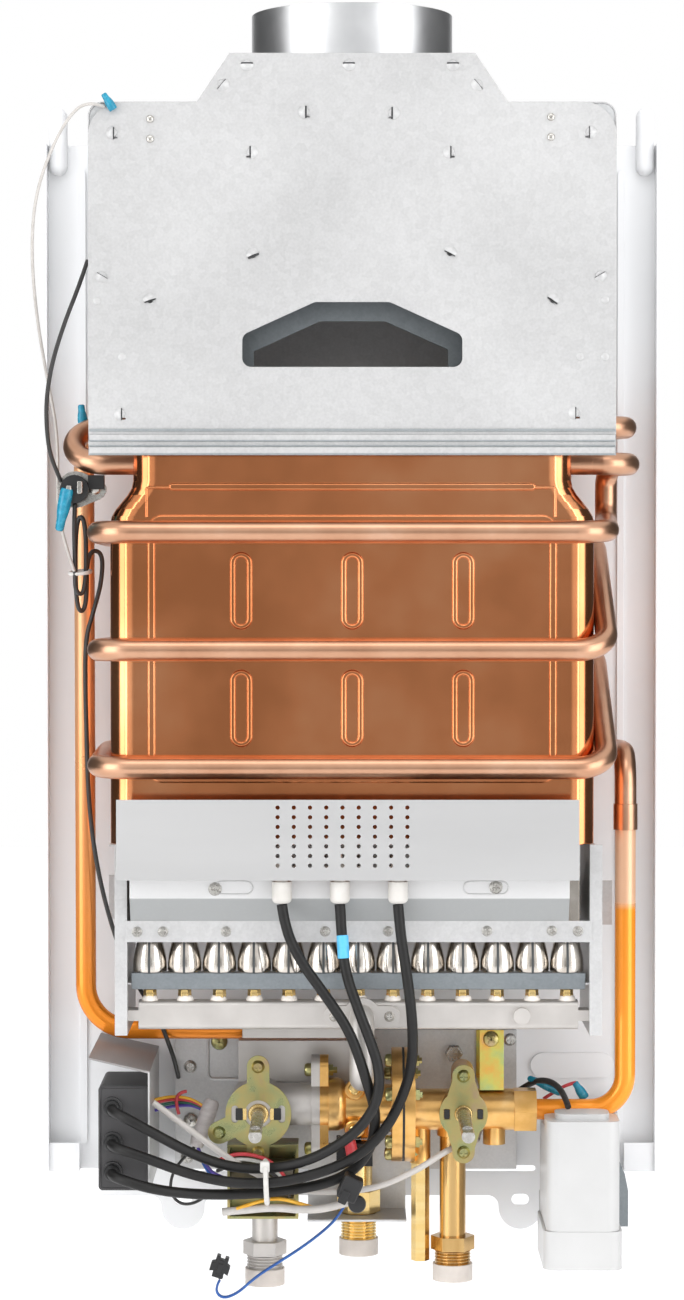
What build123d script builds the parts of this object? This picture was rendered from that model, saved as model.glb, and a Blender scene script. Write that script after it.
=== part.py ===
from build123d import *
import os
from math import acos, atan2, cos, degrees, dist, pi, tan

os.makedirs("parts", exist_ok=True)

# Lengths are in millimetres. X runs to the right, depth runs out from the wall,
# and height runs up from the lower edge of the back panel.

# Clearances
overrun = 5.0
seat_gap = 0.1
braze_gap = 0.2
running_gap = 0.05
match = 0.01

# Reference heights and depths
valve_height = 45.0
valve_depth = 60.0
link_rise = 3.0
link_height = valve_height + link_rise
burner_x = 3.5

# Exchanger shell
shell_wall = 0.8
shell_width = 274.0
shell_depth = 100.0
shell_back = 18.0
shell_corner = 14.0
shell_rise = 159.0
shell_base = valve_height + shell_rise
shell_height = 181.1
flare_height = 24.0
flare_inset = 13.0
flare_steps = 6
fin_box_width = shell_width - 2 * flare_inset
fin_box_height = 45.9
shell_front = shell_back + shell_depth
shell_mid = shell_back + shell_depth / 2
flare_base = shell_base + shell_height
flare_top = flare_base + flare_height
shell_top = flare_top + fin_box_height
bead_width = 4.0
bead_rise = 1.3
bead_round = 1.0
bead_frame_width = 230.0
bead_frame_rise = 35.0
bead_frame_base = shell_base + bead_frame_rise
bead_frame_lap = 4.6
bead_frame_top = flare_base + bead_frame_lap
upper_bead_width = 206.0
upper_bead_drop = 3.5
rib_pitch = 62.5
rib_width = 12.4
rib_clear = 22.7
rib_band = 2.9

# Water coil and fin tubes
tube_radius = 6.35
tube_wall = 0.8
coil_front = shell_front + bead_rise + tube_radius + braze_gap
coil_back = shell_back - tube_radius - braze_gap
coil_x = shell_width / 2 + tube_radius + braze_gap
coil_corner = 18.0
coil_first_rise = 43.8
coil_first = shell_base + coil_first_rise
coil_passes = 3
coil_top_drop = 4.9
coil_pitch = (shell_height - coil_first_rise - coil_top_drop) / (coil_passes - 1)
climb_share = 0.97
coil_climb = climb_share * coil_pitch
rib_length = coil_pitch - rib_clear
rib_rows = [coil_first + coil_pitch * (row + 0.5) for row in range(coil_passes - 1)]
bell_radius = 7.0
bell_length = 15.0
bell_rise = 4.0
bell_base = shell_base + bell_rise
coil_tail_lift = 4.0
riser_out = 11.0
riser_x = shell_width / 2 + riser_out
riser_depth = 45.0
riser_lift = 6.0
riser_corner = 13.0
turn_out = 26.5
turn_x = shell_width / 2 + turn_out
turn_corner = 16.0
fin_row_rise = 9.9
fin_row_low = flare_top + fin_row_rise
fin_row_pitch = 22.0
fin_row_high = fin_row_low + fin_row_pitch
fin_front_inset = 20.0
fin_depth_front = shell_front - fin_front_inset
fin_middle_inset = 52.0
fin_depth_middle = shell_front - fin_middle_inset
fin_back_inset = 16.0
fin_depth_back = shell_back + fin_back_inset
fin_tube_reach = 12.0
fin_tube_end = fin_box_width / 2 + fin_tube_reach
bend_reach = 23.0
bend_radius_left = 19.2
bend_radius_right = 15.8
fin_count = 24
fin_sheet = 0.5
fin_margin = 3.0
fin_inset = 5.5
fin_pack_rise = 2.0
fin_pack_base = flare_top + fin_pack_rise
fin_pack_drop = 4.0
fin_pack_top = shell_top - fin_pack_drop

# Hood
hood_sheet = 0.8
hood_back = 9.0
hood_front = 128.0
hood_width = 295.0
hood_skirt = 32.0
hood_height = 197.0
hood_corner = 19.0
hood_body_corner = 8.0
crown_base_width = 173.5
crown_width = 137.0
crown_height = 27.0
hood_base = shell_top - hood_skirt
hood_floor = shell_top
hood_shoulder = hood_base + hood_height
hood_top = hood_shoulder + crown_height
hood_mid = (hood_back + hood_front) / 2
relief_width = 123.0
relief_flat = 42.0
relief_rise = 49.3
relief_base = hood_base + relief_rise
relief_side = 17.8
relief_height = 36.2
relief_round = 5.0
hem_height = 5.0
fold_rise = 1.0
fold_width = 4.0
fold_up = 10.0
hood_lip = 2.0
tab_radius = 2.6
tab_rise = 0.9
tab_slit = 1.0
mark_radius = 1.7
baffle_depth = 88.0
baffle_height = 130.0
inner_slot_width = 115.0
inner_slot_drop = 2.0
inner_slot_base = relief_base - inner_slot_drop
inner_slot_height = 30.0
collar_radius = 57.5
collar_wall = 1.2
collar_step = 0.6
collar_height = 28.5
collar_tuck = 5.0

# Lanced tabs and rivet marks on the hood: across from the middle and down from the shoulder
hood_tabs = [(-58.7, -20.8), (-1.9, -20.8), (56.1, -20.8), (-26.4, 5.8), (22.7, 6.4),
             (-56.5, 28.1), (54.5, 28.1), (-133.5, 17.5), (132.5, 17.0), (-139.7, 97.0),
             (138.3, 96.5), (-129.3, 174.0), (124.5, 173.4), (-72.6, -9.7), (70.0, -9.7)]
hood_marks = [(-112.8, 9.7), (-112.8, 20.8), (110.8, 8.6), (110.8, 19.7), (-55.4, 85.3),
              (54.5, 84.2), (-113.0, 110.4), (112.0, 110.4), (-142.6, 111.0), (141.1, 110.4),
              (-128.7, 142.2), (127.2, 142.2), (141.2, 142.2)]

# Back panel
panel_width = 362.0
panel_sheet = 0.8
panel_flange = 12.0
panel_drop = 10.0
panel_height = hood_shoulder - panel_drop
strip_inset = 31.0
strip_width = panel_width - 2 * strip_inset
strip_drop = 16.3
wall_slot_x = 101.0
wall_slot_drop = 18.7
wall_slot_length = 10.5
wall_slot_width = 6.5
hang_slot_drop = 25.0
hang_slot_height = panel_height - hang_slot_drop
wall_tab_width = 26.0
wall_tab_drop = 36.5
wall_tab_blend = 6.5
slit_length = 44.0
slit_width = 3.5
slit_x = 88.0
finger_width = 10.6
finger_length = 40.0
finger_depth = 8.0
finger_round = 4.6
finger_inset = 7.0
finger_x = panel_width / 2 - finger_inset
finger_over = 22.0
finger_top = panel_height + finger_over
rib_bead_inset = 21.0
rib_bead_x = panel_width / 2 - rib_bead_inset
rib_bead_width = 4.0
rib_bead_rise = 1.5
side_rib_length = 50.0
side_rib_width = 15.0
side_rib_x = 132.0
side_rib_height = 62.0
lug_width = 18.0
lug_height = 17.0
lug_depth = 11.0

# Sheet brackets between the panel and what it carries
bracket_sheet = 1.5
bracket_foot = 18.0
bracket_height = 26.0
shell_bracket_x = 95.0
shell_bracket_rise = 5.0
shell_bracket_base = shell_base + shell_bracket_rise
hood_bracket_x = 60.0
hood_bracket_drop = 70.0
hood_bracket_base = hood_shoulder - hood_bracket_drop

# Burner
bar_count = 13
bar_pitch = 19.72
bar_thick = 12.6
bar_back = 42.0
bar_rise = 112.0
bar_base = valve_height + bar_rise
bar_drop = 12.0
bar_top = shell_base - bar_drop
bar_slot = 2.2
bar_slot_depth = 3.0
venturi_depth = 105.0
venturi_rise = 86.5
venturi_base = valve_height + venturi_rise
venturi_height = 15.5
venturi_rim = 1.8
venturi_low_radius = 9.4
venturi_high_radius = 6.4
seam_width = 2.4
seam_rise = 0.9
end_sheet = 1.0
end_gap = 130.5
end_rise = 51.0
end_base = valve_height + end_rise
end_back = 36.0
end_flange = 6.0
bar_front = shell_front
crossbar_sheet = 1.0
crossbar_rise = 104.0
crossbar_base = valve_height + crossbar_rise
crossbar_height = 12.0
air_plate_rise = 79.0
air_plate_height = valve_height + air_plate_rise
air_plate_back = 55.0
air_plate_front = 111.0
air_hole_radius = 5.5
burner_bracket_rise = 105.0
burner_bracket_base = valve_height + burner_bracket_rise

# Manifold, jets and gas elbow
manifold_rise = 53.5
manifold_base = valve_height + manifold_rise
manifold_height = 16.0
manifold_back = 98.0
manifold_front = 112.0
manifold_round = 3.0
manifold_half = 124.5
manifold_ear = 6.0
plug_x = 96.0
plug_radius = 4.8
plug_rise = 4.0
jet_hex = 3.3
jet_hex_height = 4.0
jet_radius = 2.1
jet_height = 9.0
jet_bore = 0.5
elbow_x = 5.5
elbow_radius = 7.0
elbow_front = 121.0
elbow_bend = 7.5
elbow_flange_sheet = 4.0
elbow_flange_half = 15.5
elbow_ear_radius = 6.0
elbow_hub_radius = 10.5
arm_back = 33.0
arm_front = 46.0
arm_rise = 14.0
arm_base = valve_height + arm_rise
arm_over = 38.0
arm_top = valve_height + arm_over
arm_reach = 15.0

# Shield, its bracket and the electrodes
strip_base = crossbar_base + crossbar_height
knee_rise = 14.0
strip_knee = strip_base + knee_rise
strip_height = 25.0
strip_top = strip_base + strip_height
strip_depth = 127.0
strip_sheet = 1.0
strip_left = 125.0
strip_right = 122.0
shield_sheet = 0.8
shield_left = 131.5
shield_right = 126.4
shield_depth = 142.0
shield_height = 45.0
notch_left = 47.0
notch_right = 33.0
perf_columns = 9
perf_rows = 7
perf_pitch_x = 9.03
perf_pitch_z = 5.4
perf_radius = 1.2
perf_x = -5.5
perf_rise = 24.5
electrode_x = [-39.4, -6.9, 25.6]
boot_radius = 5.5
boot_drop = 2.5
boot_base = strip_knee - boot_drop
boot_inset = 1.2
boot_top = strip_top - boot_inset
boot_round = 2.5
electrode_depth = strip_depth + strip_sheet + boot_radius + seat_gap
ceramic_radius = 3.6
ceramic_base = boot_top
ceramic_drop = 8.0
ceramic_top = shell_base - ceramic_drop
rod_radius = 1.1
rod_drop = 4.5
rod_height = shell_base - rod_drop
rod_back = 92.0
rod_corner = 3.0
lead_radius = 3.0

# Gas valve
gas_x = -54.0
gas_body_radius = 17.0
gas_body_back = 30.0
gas_body_reach = 17.0
gas_body_front = valve_depth + gas_body_reach
plug_bore = 6.0
plug_back = 36.0
plug_reach = 6.0
plug_front = valve_depth + plug_reach
spindle_radius = 3.7
spindle_end = 156.0
spindle_flat = 1.4
spindle_flat_length = 14.0
gas_throat_radius = 12.3
flange_sheet = 5.0
flange_half = 29.0
flange_ear_radius = 6.5
flange_hub_radius = 13.0
flange_left = -23.6
flange_face = flange_left + flange_sheet
chamber_radius = 9.5
chamber_left = -46.0
seat_left = -33.0
seat_radius = 6.0
plate_sheet = 1.2
plate_radius = 19.0
plate_ear_radius = 6.5
plate_window_radius = 8.0
plate_slot_width = 4.0
plate_slot_length = 10.0
plate_slot_out = 13.5
gas_screws = [(-0.1, 27.4), (-0.2, -22.3), (-22.6, -10.7)]

# Solenoid
solenoid_left = -72.0
solenoid_right = -31.0
solenoid_base = -16.0
solenoid_gap = 1.0
solenoid_top = valve_height - gas_body_radius - solenoid_gap
solenoid_back = 53.0
solenoid_front = 76.5
solenoid_sheet = 1.5
coil_body_radius = 10.5
coil_body_gap = 6.0
plunger_radius = 3.8
plunger_left = -60.0
plunger_right = -36.5

# Gas inlet and shipping caps
inlet_depth = 44.0
gas_inlet_x = -51.0
inlet_radius = 7.5
inlet_gap = 1.0
inlet_top = valve_height - gas_body_radius - inlet_gap
gas_hex_top = -34.5
hex_height = 8.0
hex_half = 11.0
thread_radius = 10.478
thread_pitch = 1.814
thread_root = 1.162
thread_turns = 9
cap_radius = 11.6
cap_wall = 0.9
cap_floor = 1.2
cap_gap = 0.15
cap_cover_turns = 4.5

# Water valve
cover_left = flange_face
neck_radius = 11.5
disc_left = 23.0
disc_radius = 33.0
disc_half = 6.0
diaphragm_sheet = 1.4
diaphragm_left = disc_left + disc_half
diaphragm_right = diaphragm_left + diaphragm_sheet
disc_right = diaphragm_right + disc_half
pocket_radius = 25.0
pocket_depth = 4.6
rod_bore = 2.6
push_rod_radius = 2.4
disc_plate_radius = 21.0
disc_plate_sheet = 1.5
poppet_radius = 8.0
poppet_sheet = 2.8
water_x = 64.3
water_body_radius = 12.0
water_body_right = 94.0
water_bore = 7.0
water_hub_radius = 13.5
water_reach = 17.0
water_front = valve_depth + water_reach
water_plate_radius = 14.0
water_ear_half = 22.0
water_window = (3.6, 6.0)
water_window_out = 9.6
ear_blend_share = 0.9
low_ear_sheet = 2.5
stub_x = 82.7
stub_radius = 6.5
stub_base = 25.0
drain_x = 39.8
drain_boss_radius = 6.0
drain_hex = 4.6
drain_top = 14.0
drain_base = -43.0
drain_boss_top = 40.0
cold_inlet_x = 58.6
cold_inlet_top = 33.0
cold_socket = 3.0
cold_hex_top = -28.5
cold_inlet_radius = 7.6
nut_hex = 11.6
nut_length = 13.0
cold_pipe_radius = 6.0
cold_pipe_gap = 2.8
cold_pipe_x = coil_x + tube_radius + cold_pipe_radius + cold_pipe_gap
cold_bend = 20.0

# Hot side
hot_x = 4.1
hot_depth = 26.0
hot_pipe_radius = 6.0
hot_pipe_gap = 1.0
hot_pipe_x = coil_x + tube_radius + hot_pipe_radius + hot_pipe_gap
hot_pipe_rise = 42.4
hot_pipe_height = valve_height + hot_pipe_rise
hot_bend_top = 15.0
hot_bend_low = 26.0
hot_bend_out = 20.0
hot_hex_top = -8.0
hot_hex_height = 13.0
hot_socket_top = 12.0
hot_socket_radius = 8.0
hot_thread_turns = 13

# Valve plate, strap and microswitch
valve_plate_depth = 13.0
valve_plate_sheet = 1.2
valve_plate_left = -105.0
valve_plate_right = 98.0
valve_plate_base = 2.0
plate_rise = 40.0
valve_plate_top = valve_height + plate_rise
shelf_left = -26.0
shelf_right = 32.0
shelf_front = 50.0
shelf_height = -21.5
shelf_hole = 9.0
post_radius = 5.0
strap_left = 74.0
strap_right = 88.0
strap_rise = 47.0
strap_top = valve_height + strap_rise
strap_sheet = 1.2
switch_left = -9.0
switch_right = 12.0
switch_base = 13.0
switch_top = 26.0
switch_back = 56.0
switch_front = 68.0
lever_length = 17.0
lever_sheet = 0.6
lever_width = 5.0
lever_rise = 2.2
lever_pin_radius = 1.0
lug_gap = 0.4
lug_sheet = 1.2
mast_width = 8.0

# Igniter box and its heat shield
igniter_left = -145.0
igniter_right = -116.2
igniter_base = 4.0
igniter_top = 64.0
igniter_back = 40.0
igniter_front = 95.0
igniter_round = 2.5
outlet_heights = [52.0, 32.0, 15.0]
outlet_x = -137.0
outlet_radius = 5.8
outlet_rise = 3.0
guard_sheet = 1.0
guard_top = 73.5
guard_rise = 8.0
guard_left = -150.0
guard_front = 104.0

# Battery box
battery_left = 111.0
battery_right = 153.0
battery_base = -19.0
battery_top = 38.0
battery_back = 26.0
battery_front = 100.0
battery_wall = 1.6
battery_round = 7.0
battery_cap_rise = 6.0
battery_cap_back = 68.0
battery_plug_inset = 11.0
battery_plug_rise = 3.5
lid_overhang = 1.6
lid_height = 22.0
lid_wall = 1.6
cell_radius = 16.0
cell_height = 61.5
hinge_radius = 2.0
hinge_pin_drop = 3.0
knuckle_length = 10.0

# Thermostat and free display lead
stat_in = 1.5
stat_x = stat_in - fin_tube_end - bend_reach
stat_radius = 8.0
stat_length = 14.0
stat_sheet = 1.0
stat_inset = 9.0
stat_back = fin_depth_front - stat_inset
stat_hub = 10.0
stat_ear = 12.0
stat_ear_radius = 5.5
saddle_width = 9.0
stat_wire_radius = 1.2
wire_radius = 0.9
sleeve_radius = 1.3
battery_lead_radius = 1.8
display_wire_radius = 0.7
display_gap = 0.4
connector_size = (11.0, 8.0, 14.0)

# Routes of the leads as (across, depth, height)
ht_routes = [
    [(-39.4, 133.6, 171.8), (-37.6, 133.4, 158.0), (-29.0, 134.5, 140.0), (-15.0, 136.0, 121.0),
     (-2.0, 136.0, 102.0), (5.0, 134.5, 83.0), (8.5, 132.0, 70.5), (12.0, 122.5, 58.5),
     (13.5, 110.0, 46.0), (11.0, 103.0, 29.5), (0.0, 101.0, 15.0), (-19.0, 101.0, 7.5),
     (-46.0, 101.5, 4.0), (-72.0, 104.0, 3.0), (-97.0, 110.5, 5.0), (-116.0, 117.5, 9.5),
     (-130.0, 117.5, 14.0), (-137.0, 109.0, 15.0), (-137.0, 98.3, 15.0)],
    [(-6.9, 133.6, 171.8), (-6.0, 133.4, 155.0), (-4.0, 135.0, 134.0), (3.0, 137.0, 114.0),
     (10.0, 137.0, 96.0), (15.5, 135.5, 79.0), (14.5, 133.5, 62.0), (6.0, 125.0, 46.0),
     (-9.0, 116.0, 32.5), (-28.0, 108.0, 22.0), (-49.0, 103.0, 17.5), (-71.0, 104.0, 19.0),
     (-92.0, 110.0, 28.0), (-114.0, 117.5, 41.5), (-129.5, 117.5, 50.0), (-137.0, 109.0, 52.0),
     (-137.0, 98.3, 52.0)],
    [(25.6, 133.6, 171.8), (27.0, 133.4, 154.0), (31.0, 133.0, 130.0), (34.0, 130.0, 104.0),
     (34.0, 122.0, 80.0), (28.0, 115.0, 59.0), (18.0, 112.5, 40.0), (3.0, 111.5, 26.0),
     (-17.0, 110.5, 17.0), (-41.0, 110.0, 11.0), (-66.0, 110.5, 10.6), (-91.0, 113.0, 16.0),
     (-114.0, 117.5, 25.5), (-130.0, 117.5, 31.0), (-137.0, 109.0, 32.0), (-137.0, 98.3, 32.0)],
]
draught_route = [(-138.0, 129.0, 617.0), (-147.0, 133.0, 620.0), (-158.0, 134.0, 611.0),
                 (-169.0, 133.0, 590.0), (-177.5, 128.0, 565.0), (-180.0, 119.0, 535.0),
                 (-178.0, 107.0, 500.0), (-173.0, 93.0, 465.0), (-169.8, 79.0, 444.0),
                 (-168.8, 74.5, 424.0), (-169.0, 80.0, 405.0), (-167.3, 88.0, 388.0),
                 (-162.8, 90.0, 371.0), (-158.8, 86.3, 358.0)]
overheat_route = [(-148.9, 112.0, 533.0), (-153.0, 118.0, 519.0), (-161.0, 122.0, 498.0),
                  (-168.0, 122.5, 476.0), (-171.8, 120.0, 455.0), (-172.0, 114.0, 436.0),
                  (-170.2, 106.0, 421.0), (-165.2, 98.2, 409.0)]
bundle_head = [(-157.5, 97.0, 396.2), (-158.2, 94.0, 386.0), (-158.5, 88.0, 374.0), (-158.4, 84.4, 361.0)]
bundle_tail = [(-144.2, 69.0, 352.0), (-149.2, 65.0, 335.0), (-154.4, 59.5, 319.0), (-155.0, 54.0, 291.0),
               (-154.5, 49.8, 260.0), (-154.0, 46.5, 230.0), (-152.0, 42.5, 203.0), (-148.0, 38.0, 177.0),
               (-142.0, 35.0, 152.0), (-134.5, 34.0, 130.0), (-124.5, 34.0, 111.0), (-113.5, 34.6, 95.0),
               (-107.5, 34.6, 79.0), (-104.2, 26.0, 67.0), (-102.9, 16.2, 57.0)]

# Tied hank in the bundle: each turn's two sides across and its height, in layers from front to back
hank_turns = [(-158.5, -152.4, 345.0), (-152.4, -158.8, 389.0), (-158.8, -152.6, 335.0),
              (-152.6, -143.6, 369.5)]
hank_front = 84.0
hank_layer = 3.5
hank = []
for index, (side_in, side_out, turn_height) in enumerate(hank_turns):
    layer_depth = hank_front - hank_layer * index
    hank.append((side_in, layer_depth, turn_height))
    hank.append((side_out, layer_depth - hank_layer, turn_height))
bundle_route = bundle_head + hank + bundle_tail
gap_samples = 800
gap_skip_share = 6
battery_route = [(-113.9, 92.0, 54.0), (-99.0, 92.0, 43.0), (-64.0, 92.0, 16.5), (-30.0, 92.0, 2.0),
                 (10.0, 92.0, 3.0), (36.0, 87.5, 13.5), (48.0, 80.5, 20.0), (57.5, 71.4, 24.3),
                 (66.5, 69.8, 26.3), (72.2, 61.5, 26.5), (73.3, 51.5, 26.2), (74.5, 43.0, 29.0),
                 (80.0, 37.5, 36.0), (89.0, 36.0, 44.0), (99.0, 39.0, 53.5), (109.0, 48.0, 60.5),
                 (117.5, 58.0, 60.5),
                 (123.0, 69.0, 55.0), (124.5, 80.0, 49.5)]
display_route = [(1.0, 62.0, 12.9), (0.6, 62.0, 2.5), (-3.0, 62.0, -9.0), (-9.5, 61.5, -19.5),
                 (-19.5, 61.0, -28.5), (-32.0, 61.5, -37.5), (-45.0, 62.0, -45.5),
                 (-57.0, 62.0, -53.5), (-66.5, 62.0, -62.3), (-75.5, 62.0, -65.5),
                 (-80.0, 62.0, -60.0), (-76.9, 62.0, -54.5)]

# Fasteners
head_radius = 3.8
head_height = 2.4
small_head_radius = 3.0
cross_width = 1.0
cross_depth = 0.9
head_taper = 30
cross_share = 1.2
crossbar_screws = [(-121.3, 5.8), (-106.7, 5.9), (-71.2, 6.0), (-15.3, 6.1), (20.2, 6.2),
                   (76.0, 6.3), (112.6, 6.4), (127.3, 6.2)]
strip_screws = [(-77.0, 18.9), (80.6, 20.0)]
plate_fixings = [(-95.9, 18.1), (94.0, 34.2), (-78.7, 33.0), (-98.0, -36.0)]


def facing(depth):
    """A plane that faces away from the wall, at a depth out from it."""
    return Plane.XZ.offset(depth)


def level(height):
    """A level plane at a height."""
    return Plane.XY.offset(height)


def across(x):
    """A plane across the width; its own axes are minus depth and height."""
    return Plane.YZ.offset(x)


def spot(x, depth, height):
    """A point from its place across, depth and height."""
    return (x, -depth, height)


def save(build, name):
    """Labels a finished piece and writes it."""
    build.part.label = name
    export_step(build.part, f"parts/{name}.step")


def add_block(x, depth, height, mode=Mode.ADD):
    """A block between two places across, two depths and two heights."""
    with BuildSketch(level(height[0])) as face:
        with Locations(((x[0] + x[1]) / 2, -(depth[0] + depth[1]) / 2)):
            Rectangle(x[1] - x[0], depth[1] - depth[0])
    extrude(face.sketch, amount=height[1] - height[0], mode=mode)


def add_outline(radius, sides):
    """A circle, or a polygon by its half width across flats."""
    if sides:
        RegularPolygon(radius, sides, major_radius=False)
    else:
        Circle(radius)


def add_upright(x, depth, heights, radius, sides=0, mode=Mode.ADD):
    """A round or hexagonal bar between two heights."""
    with BuildSketch(level(heights[0])) as face:
        with Locations((x, -depth)):
            add_outline(radius, sides)
    extrude(face.sketch, amount=heights[1] - heights[0], mode=mode)


def add_crosswise(xs, depth, height, radius, sides=0, mode=Mode.ADD):
    """A round or hexagonal bar between two places across."""
    with BuildSketch(across(xs[0])) as face:
        with Locations((-depth, height)):
            add_outline(radius, sides)
    extrude(face.sketch, amount=xs[1] - xs[0], mode=mode)


def add_outward(x, depths, height, radius, sides=0, mode=Mode.ADD):
    """A round or hexagonal bar between two depths."""
    with BuildSketch(facing(depths[0])) as face:
        with Locations((x, height)):
            add_outline(radius, sides)
    extrude(face.sketch, amount=depths[1] - depths[0], mode=mode)


def add_tube(route, bends, radius, bore=0):
    """A round tube along straight runs joined by arcs."""
    with BuildLine() as path:
        FilletPolyline(*[spot(*point) for point in route], radius=bends)
    with BuildSketch(path.line ^ 0) as section:
        Circle(radius)
        if bore:
            Circle(bore, mode=Mode.SUBTRACT)
    sweep(section.sketch, path=path.line)
    return path.wire()


def easy_bends(route):
    """The bend radius at each corner of a lead, from the shorter run beside it."""
    points = [Vector(*spot(*point)) for point in route]
    bends = []
    for before, corner, after in zip(points, points[1:], points[2:]):
        come = corner - before
        go = after - corner
        turn = acos(min(1.0, come.normalized().dot(go.normalized())))
        bends.append(0.45 * min(come.length, go.length) / tan(turn / 2))
    return bends


def add_lead(name, route, radius):
    """A lead along its route; its bends and its volume against section times length are printed."""
    bends = easy_bends(route)
    path = add_tube(route, bends, radius)
    length = path.length
    print(name, "length", round(length), "least bend", round(min(bends), 1),
          "in diameters", round(min(bends) / radius / 2, 1), "section times length",
          round(pi * radius ** 2 * length))
    return path


def self_gap(path, radius):
    """The least gap between a tube's own turns, on points along its path."""
    points = [tuple(path @ (index / gap_samples)) for index in range(gap_samples + 1)]
    travel = [0]
    for before, after in zip(points, points[1:]):
        travel.append(travel[-1] + dist(before, after))
    skip = gap_skip_share * radius
    gaps = [dist(points[a], points[b]) for a in range(len(points)) for b in range(a + 1, len(points))
            if travel[b] - travel[a] > skip]
    return min(gaps) - 2 * radius


def add_heads(depth, places, radius):
    """Pan heads with cross recesses, seated on a plane that faces away from the wall."""
    with BuildSketch(facing(depth)) as heads:
        with Locations(*places):
            Circle(radius)
    extrude(heads.sketch, amount=head_height, taper=head_taper)
    with BuildSketch(facing(depth + head_height)) as crosses:
        with Locations(*places):
            Rectangle(radius * cross_share, cross_width)
            Rectangle(cross_width, radius * cross_share)
    extrude(crosses.sketch, amount=-cross_depth, mode=Mode.SUBTRACT)


def add_thread(x, depth, top, turns):
    """A threaded end that hangs from a height, drawn as rings of the real crest and root."""
    crest = thread_radius
    root = thread_radius - thread_root
    base = top - turns * thread_pitch
    profile = [(0, top), (root, top)]
    for turn in range(turns):
        ring = top - turn * thread_pitch
        profile += [(crest, ring - thread_pitch * 0.4), (crest, ring - thread_pitch * 0.6)]
        profile += [(root, ring - thread_pitch)]
    profile += [(0, base)]
    with BuildSketch(Plane(origin=spot(x, depth, 0), x_dir=(1, 0, 0), z_dir=(0, -1, 0))) as face:
        with BuildLine():
            Polyline(*profile, close=True)
        make_face()
    revolve(face.sketch, axis=Axis(spot(x, depth, 0), (0, 0, 1)))
    return base


def add_cap(x, depth, thread_base):
    """A shipping cap pushed over the lower turns of a thread."""
    top = thread_base + cap_cover_turns * thread_pitch
    floor = thread_base - cap_gap - cap_floor
    add_upright(x, depth, (floor, top), cap_radius)
    add_upright(x, depth, (floor + cap_floor, top + overrun), cap_radius - cap_wall, mode=Mode.SUBTRACT)
    return floor


def hood_outline(corner, low):
    """The hood's outline from a low edge, with its shoulders rounded."""
    half = hood_width / 2
    base_half = crown_base_width / 2
    top_half = crown_width / 2
    rim = [(-half, low), (half, low), (half, hood_shoulder), (base_half, hood_shoulder),
           (top_half, hood_top), (-top_half, hood_top), (-base_half, hood_shoulder), (-half, hood_shoulder)]
    rounds = [corner if abs(x) == half and height == hood_shoulder else 0 for x, height in rim]
    with BuildLine() as line:
        FilletPolyline(*rim, radius=rounds, close=True)
    make_face(line.edges())


def two_ear_flange(x, half, ear_radius, hub_radius, thickness, height, depth):
    """A flange across the width with a hub and an ear above and below it."""
    with BuildSketch(across(x)) as face:
        with Locations((-depth, height)):
            SlotCenterToCenter(2 * (half - ear_radius), 2 * ear_radius, rotation=90)
            Circle(hub_radius)
    extrude(face.sketch, amount=thickness)


def z_bracket(x, base, reach):
    """A sheet bracket: a foot on the panel, a web, and a pad at its reach from the wall."""
    heights = (base, base + bracket_height)
    start = panel_sheet
    add_block((x - bracket_foot, x), (start, start + bracket_sheet), heights)
    add_block((x - bracket_sheet, x), (start, reach), heights)
    add_block((x - bracket_sheet, x + bracket_foot), (reach - bracket_sheet, reach), heights)


# Back panel with its flanges, guide fingers, ribs, lugs and wall slots
slot_rows = [-wall_slot_drop, hang_slot_height]
wall_slots = [(side * wall_slot_x, row) for side in (-1, 1) for row in slot_rows]
with BuildPart() as back_panel:
    with BuildSketch(facing(0)) as panel_face:
        with Locations((0, panel_height / 2)):
            Rectangle(panel_width, panel_height)
        with Locations((0, -strip_drop / 2)):
            Rectangle(strip_width, strip_drop)
        with Locations((-wall_slot_x, -wall_tab_drop / 2), (wall_slot_x, -wall_tab_drop / 2)):
            SlotOverall(wall_tab_drop, wall_tab_width, rotation=90)
        inner_corners = [v for v in panel_face.vertices() if abs(v.Y + strip_drop) < match
                         and abs(abs(v.X) - wall_slot_x) < wall_tab_width]
        fillet(inner_corners, wall_tab_blend)
        with Locations(*wall_slots):
            SlotOverall(wall_slot_length, wall_slot_width, mode=Mode.SUBTRACT)
        with Locations((-slit_x, 0), (slit_x, 0)):
            SlotOverall(slit_length, slit_width, mode=Mode.SUBTRACT)
    extrude(amount=panel_sheet)
    flange_x = (panel_width - panel_sheet) / 2
    with BuildSketch(facing(panel_sheet)):
        with Locations((-flange_x, panel_height / 2), (flange_x, panel_height / 2)):
            Rectangle(panel_sheet, panel_height)
    extrude(amount=panel_flange)
    with BuildSketch(facing(0)):
        with Locations(*[(side * finger_x, finger_top - finger_length / 2) for side in (-1, 1)]):
            SlotOverall(finger_length, finger_width, rotation=90)
    extrude(amount=finger_depth)
    finger_edges = [e for e in back_panel.edges()
                    if abs(e.center().Y + finger_depth) < match and e.center().Z > hang_slot_height]
    fillet(finger_edges, finger_round)
    with BuildSketch(facing(panel_sheet)):
        bead_length = panel_height - 2 * side_rib_width
        with Locations((-rib_bead_x, panel_height / 2), (rib_bead_x, panel_height / 2)):
            SlotOverall(bead_length, rib_bead_width, rotation=90)
        with Locations((side_rib_x, side_rib_height)):
            SlotOverall(side_rib_length, side_rib_width)
    extrude(amount=rib_bead_rise)
    for side in (-1, 1):
        edge = side * (panel_width / 2 - panel_sheet)
        inner = edge - side * lug_width
        lug = (min(edge, inner), max(edge, inner))
        add_block(lug, (panel_sheet, lug_depth), (0, panel_sheet))
        add_block(lug, (lug_depth - panel_sheet, lug_depth), (0, lug_height))
save(back_panel, "back_panel")

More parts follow.
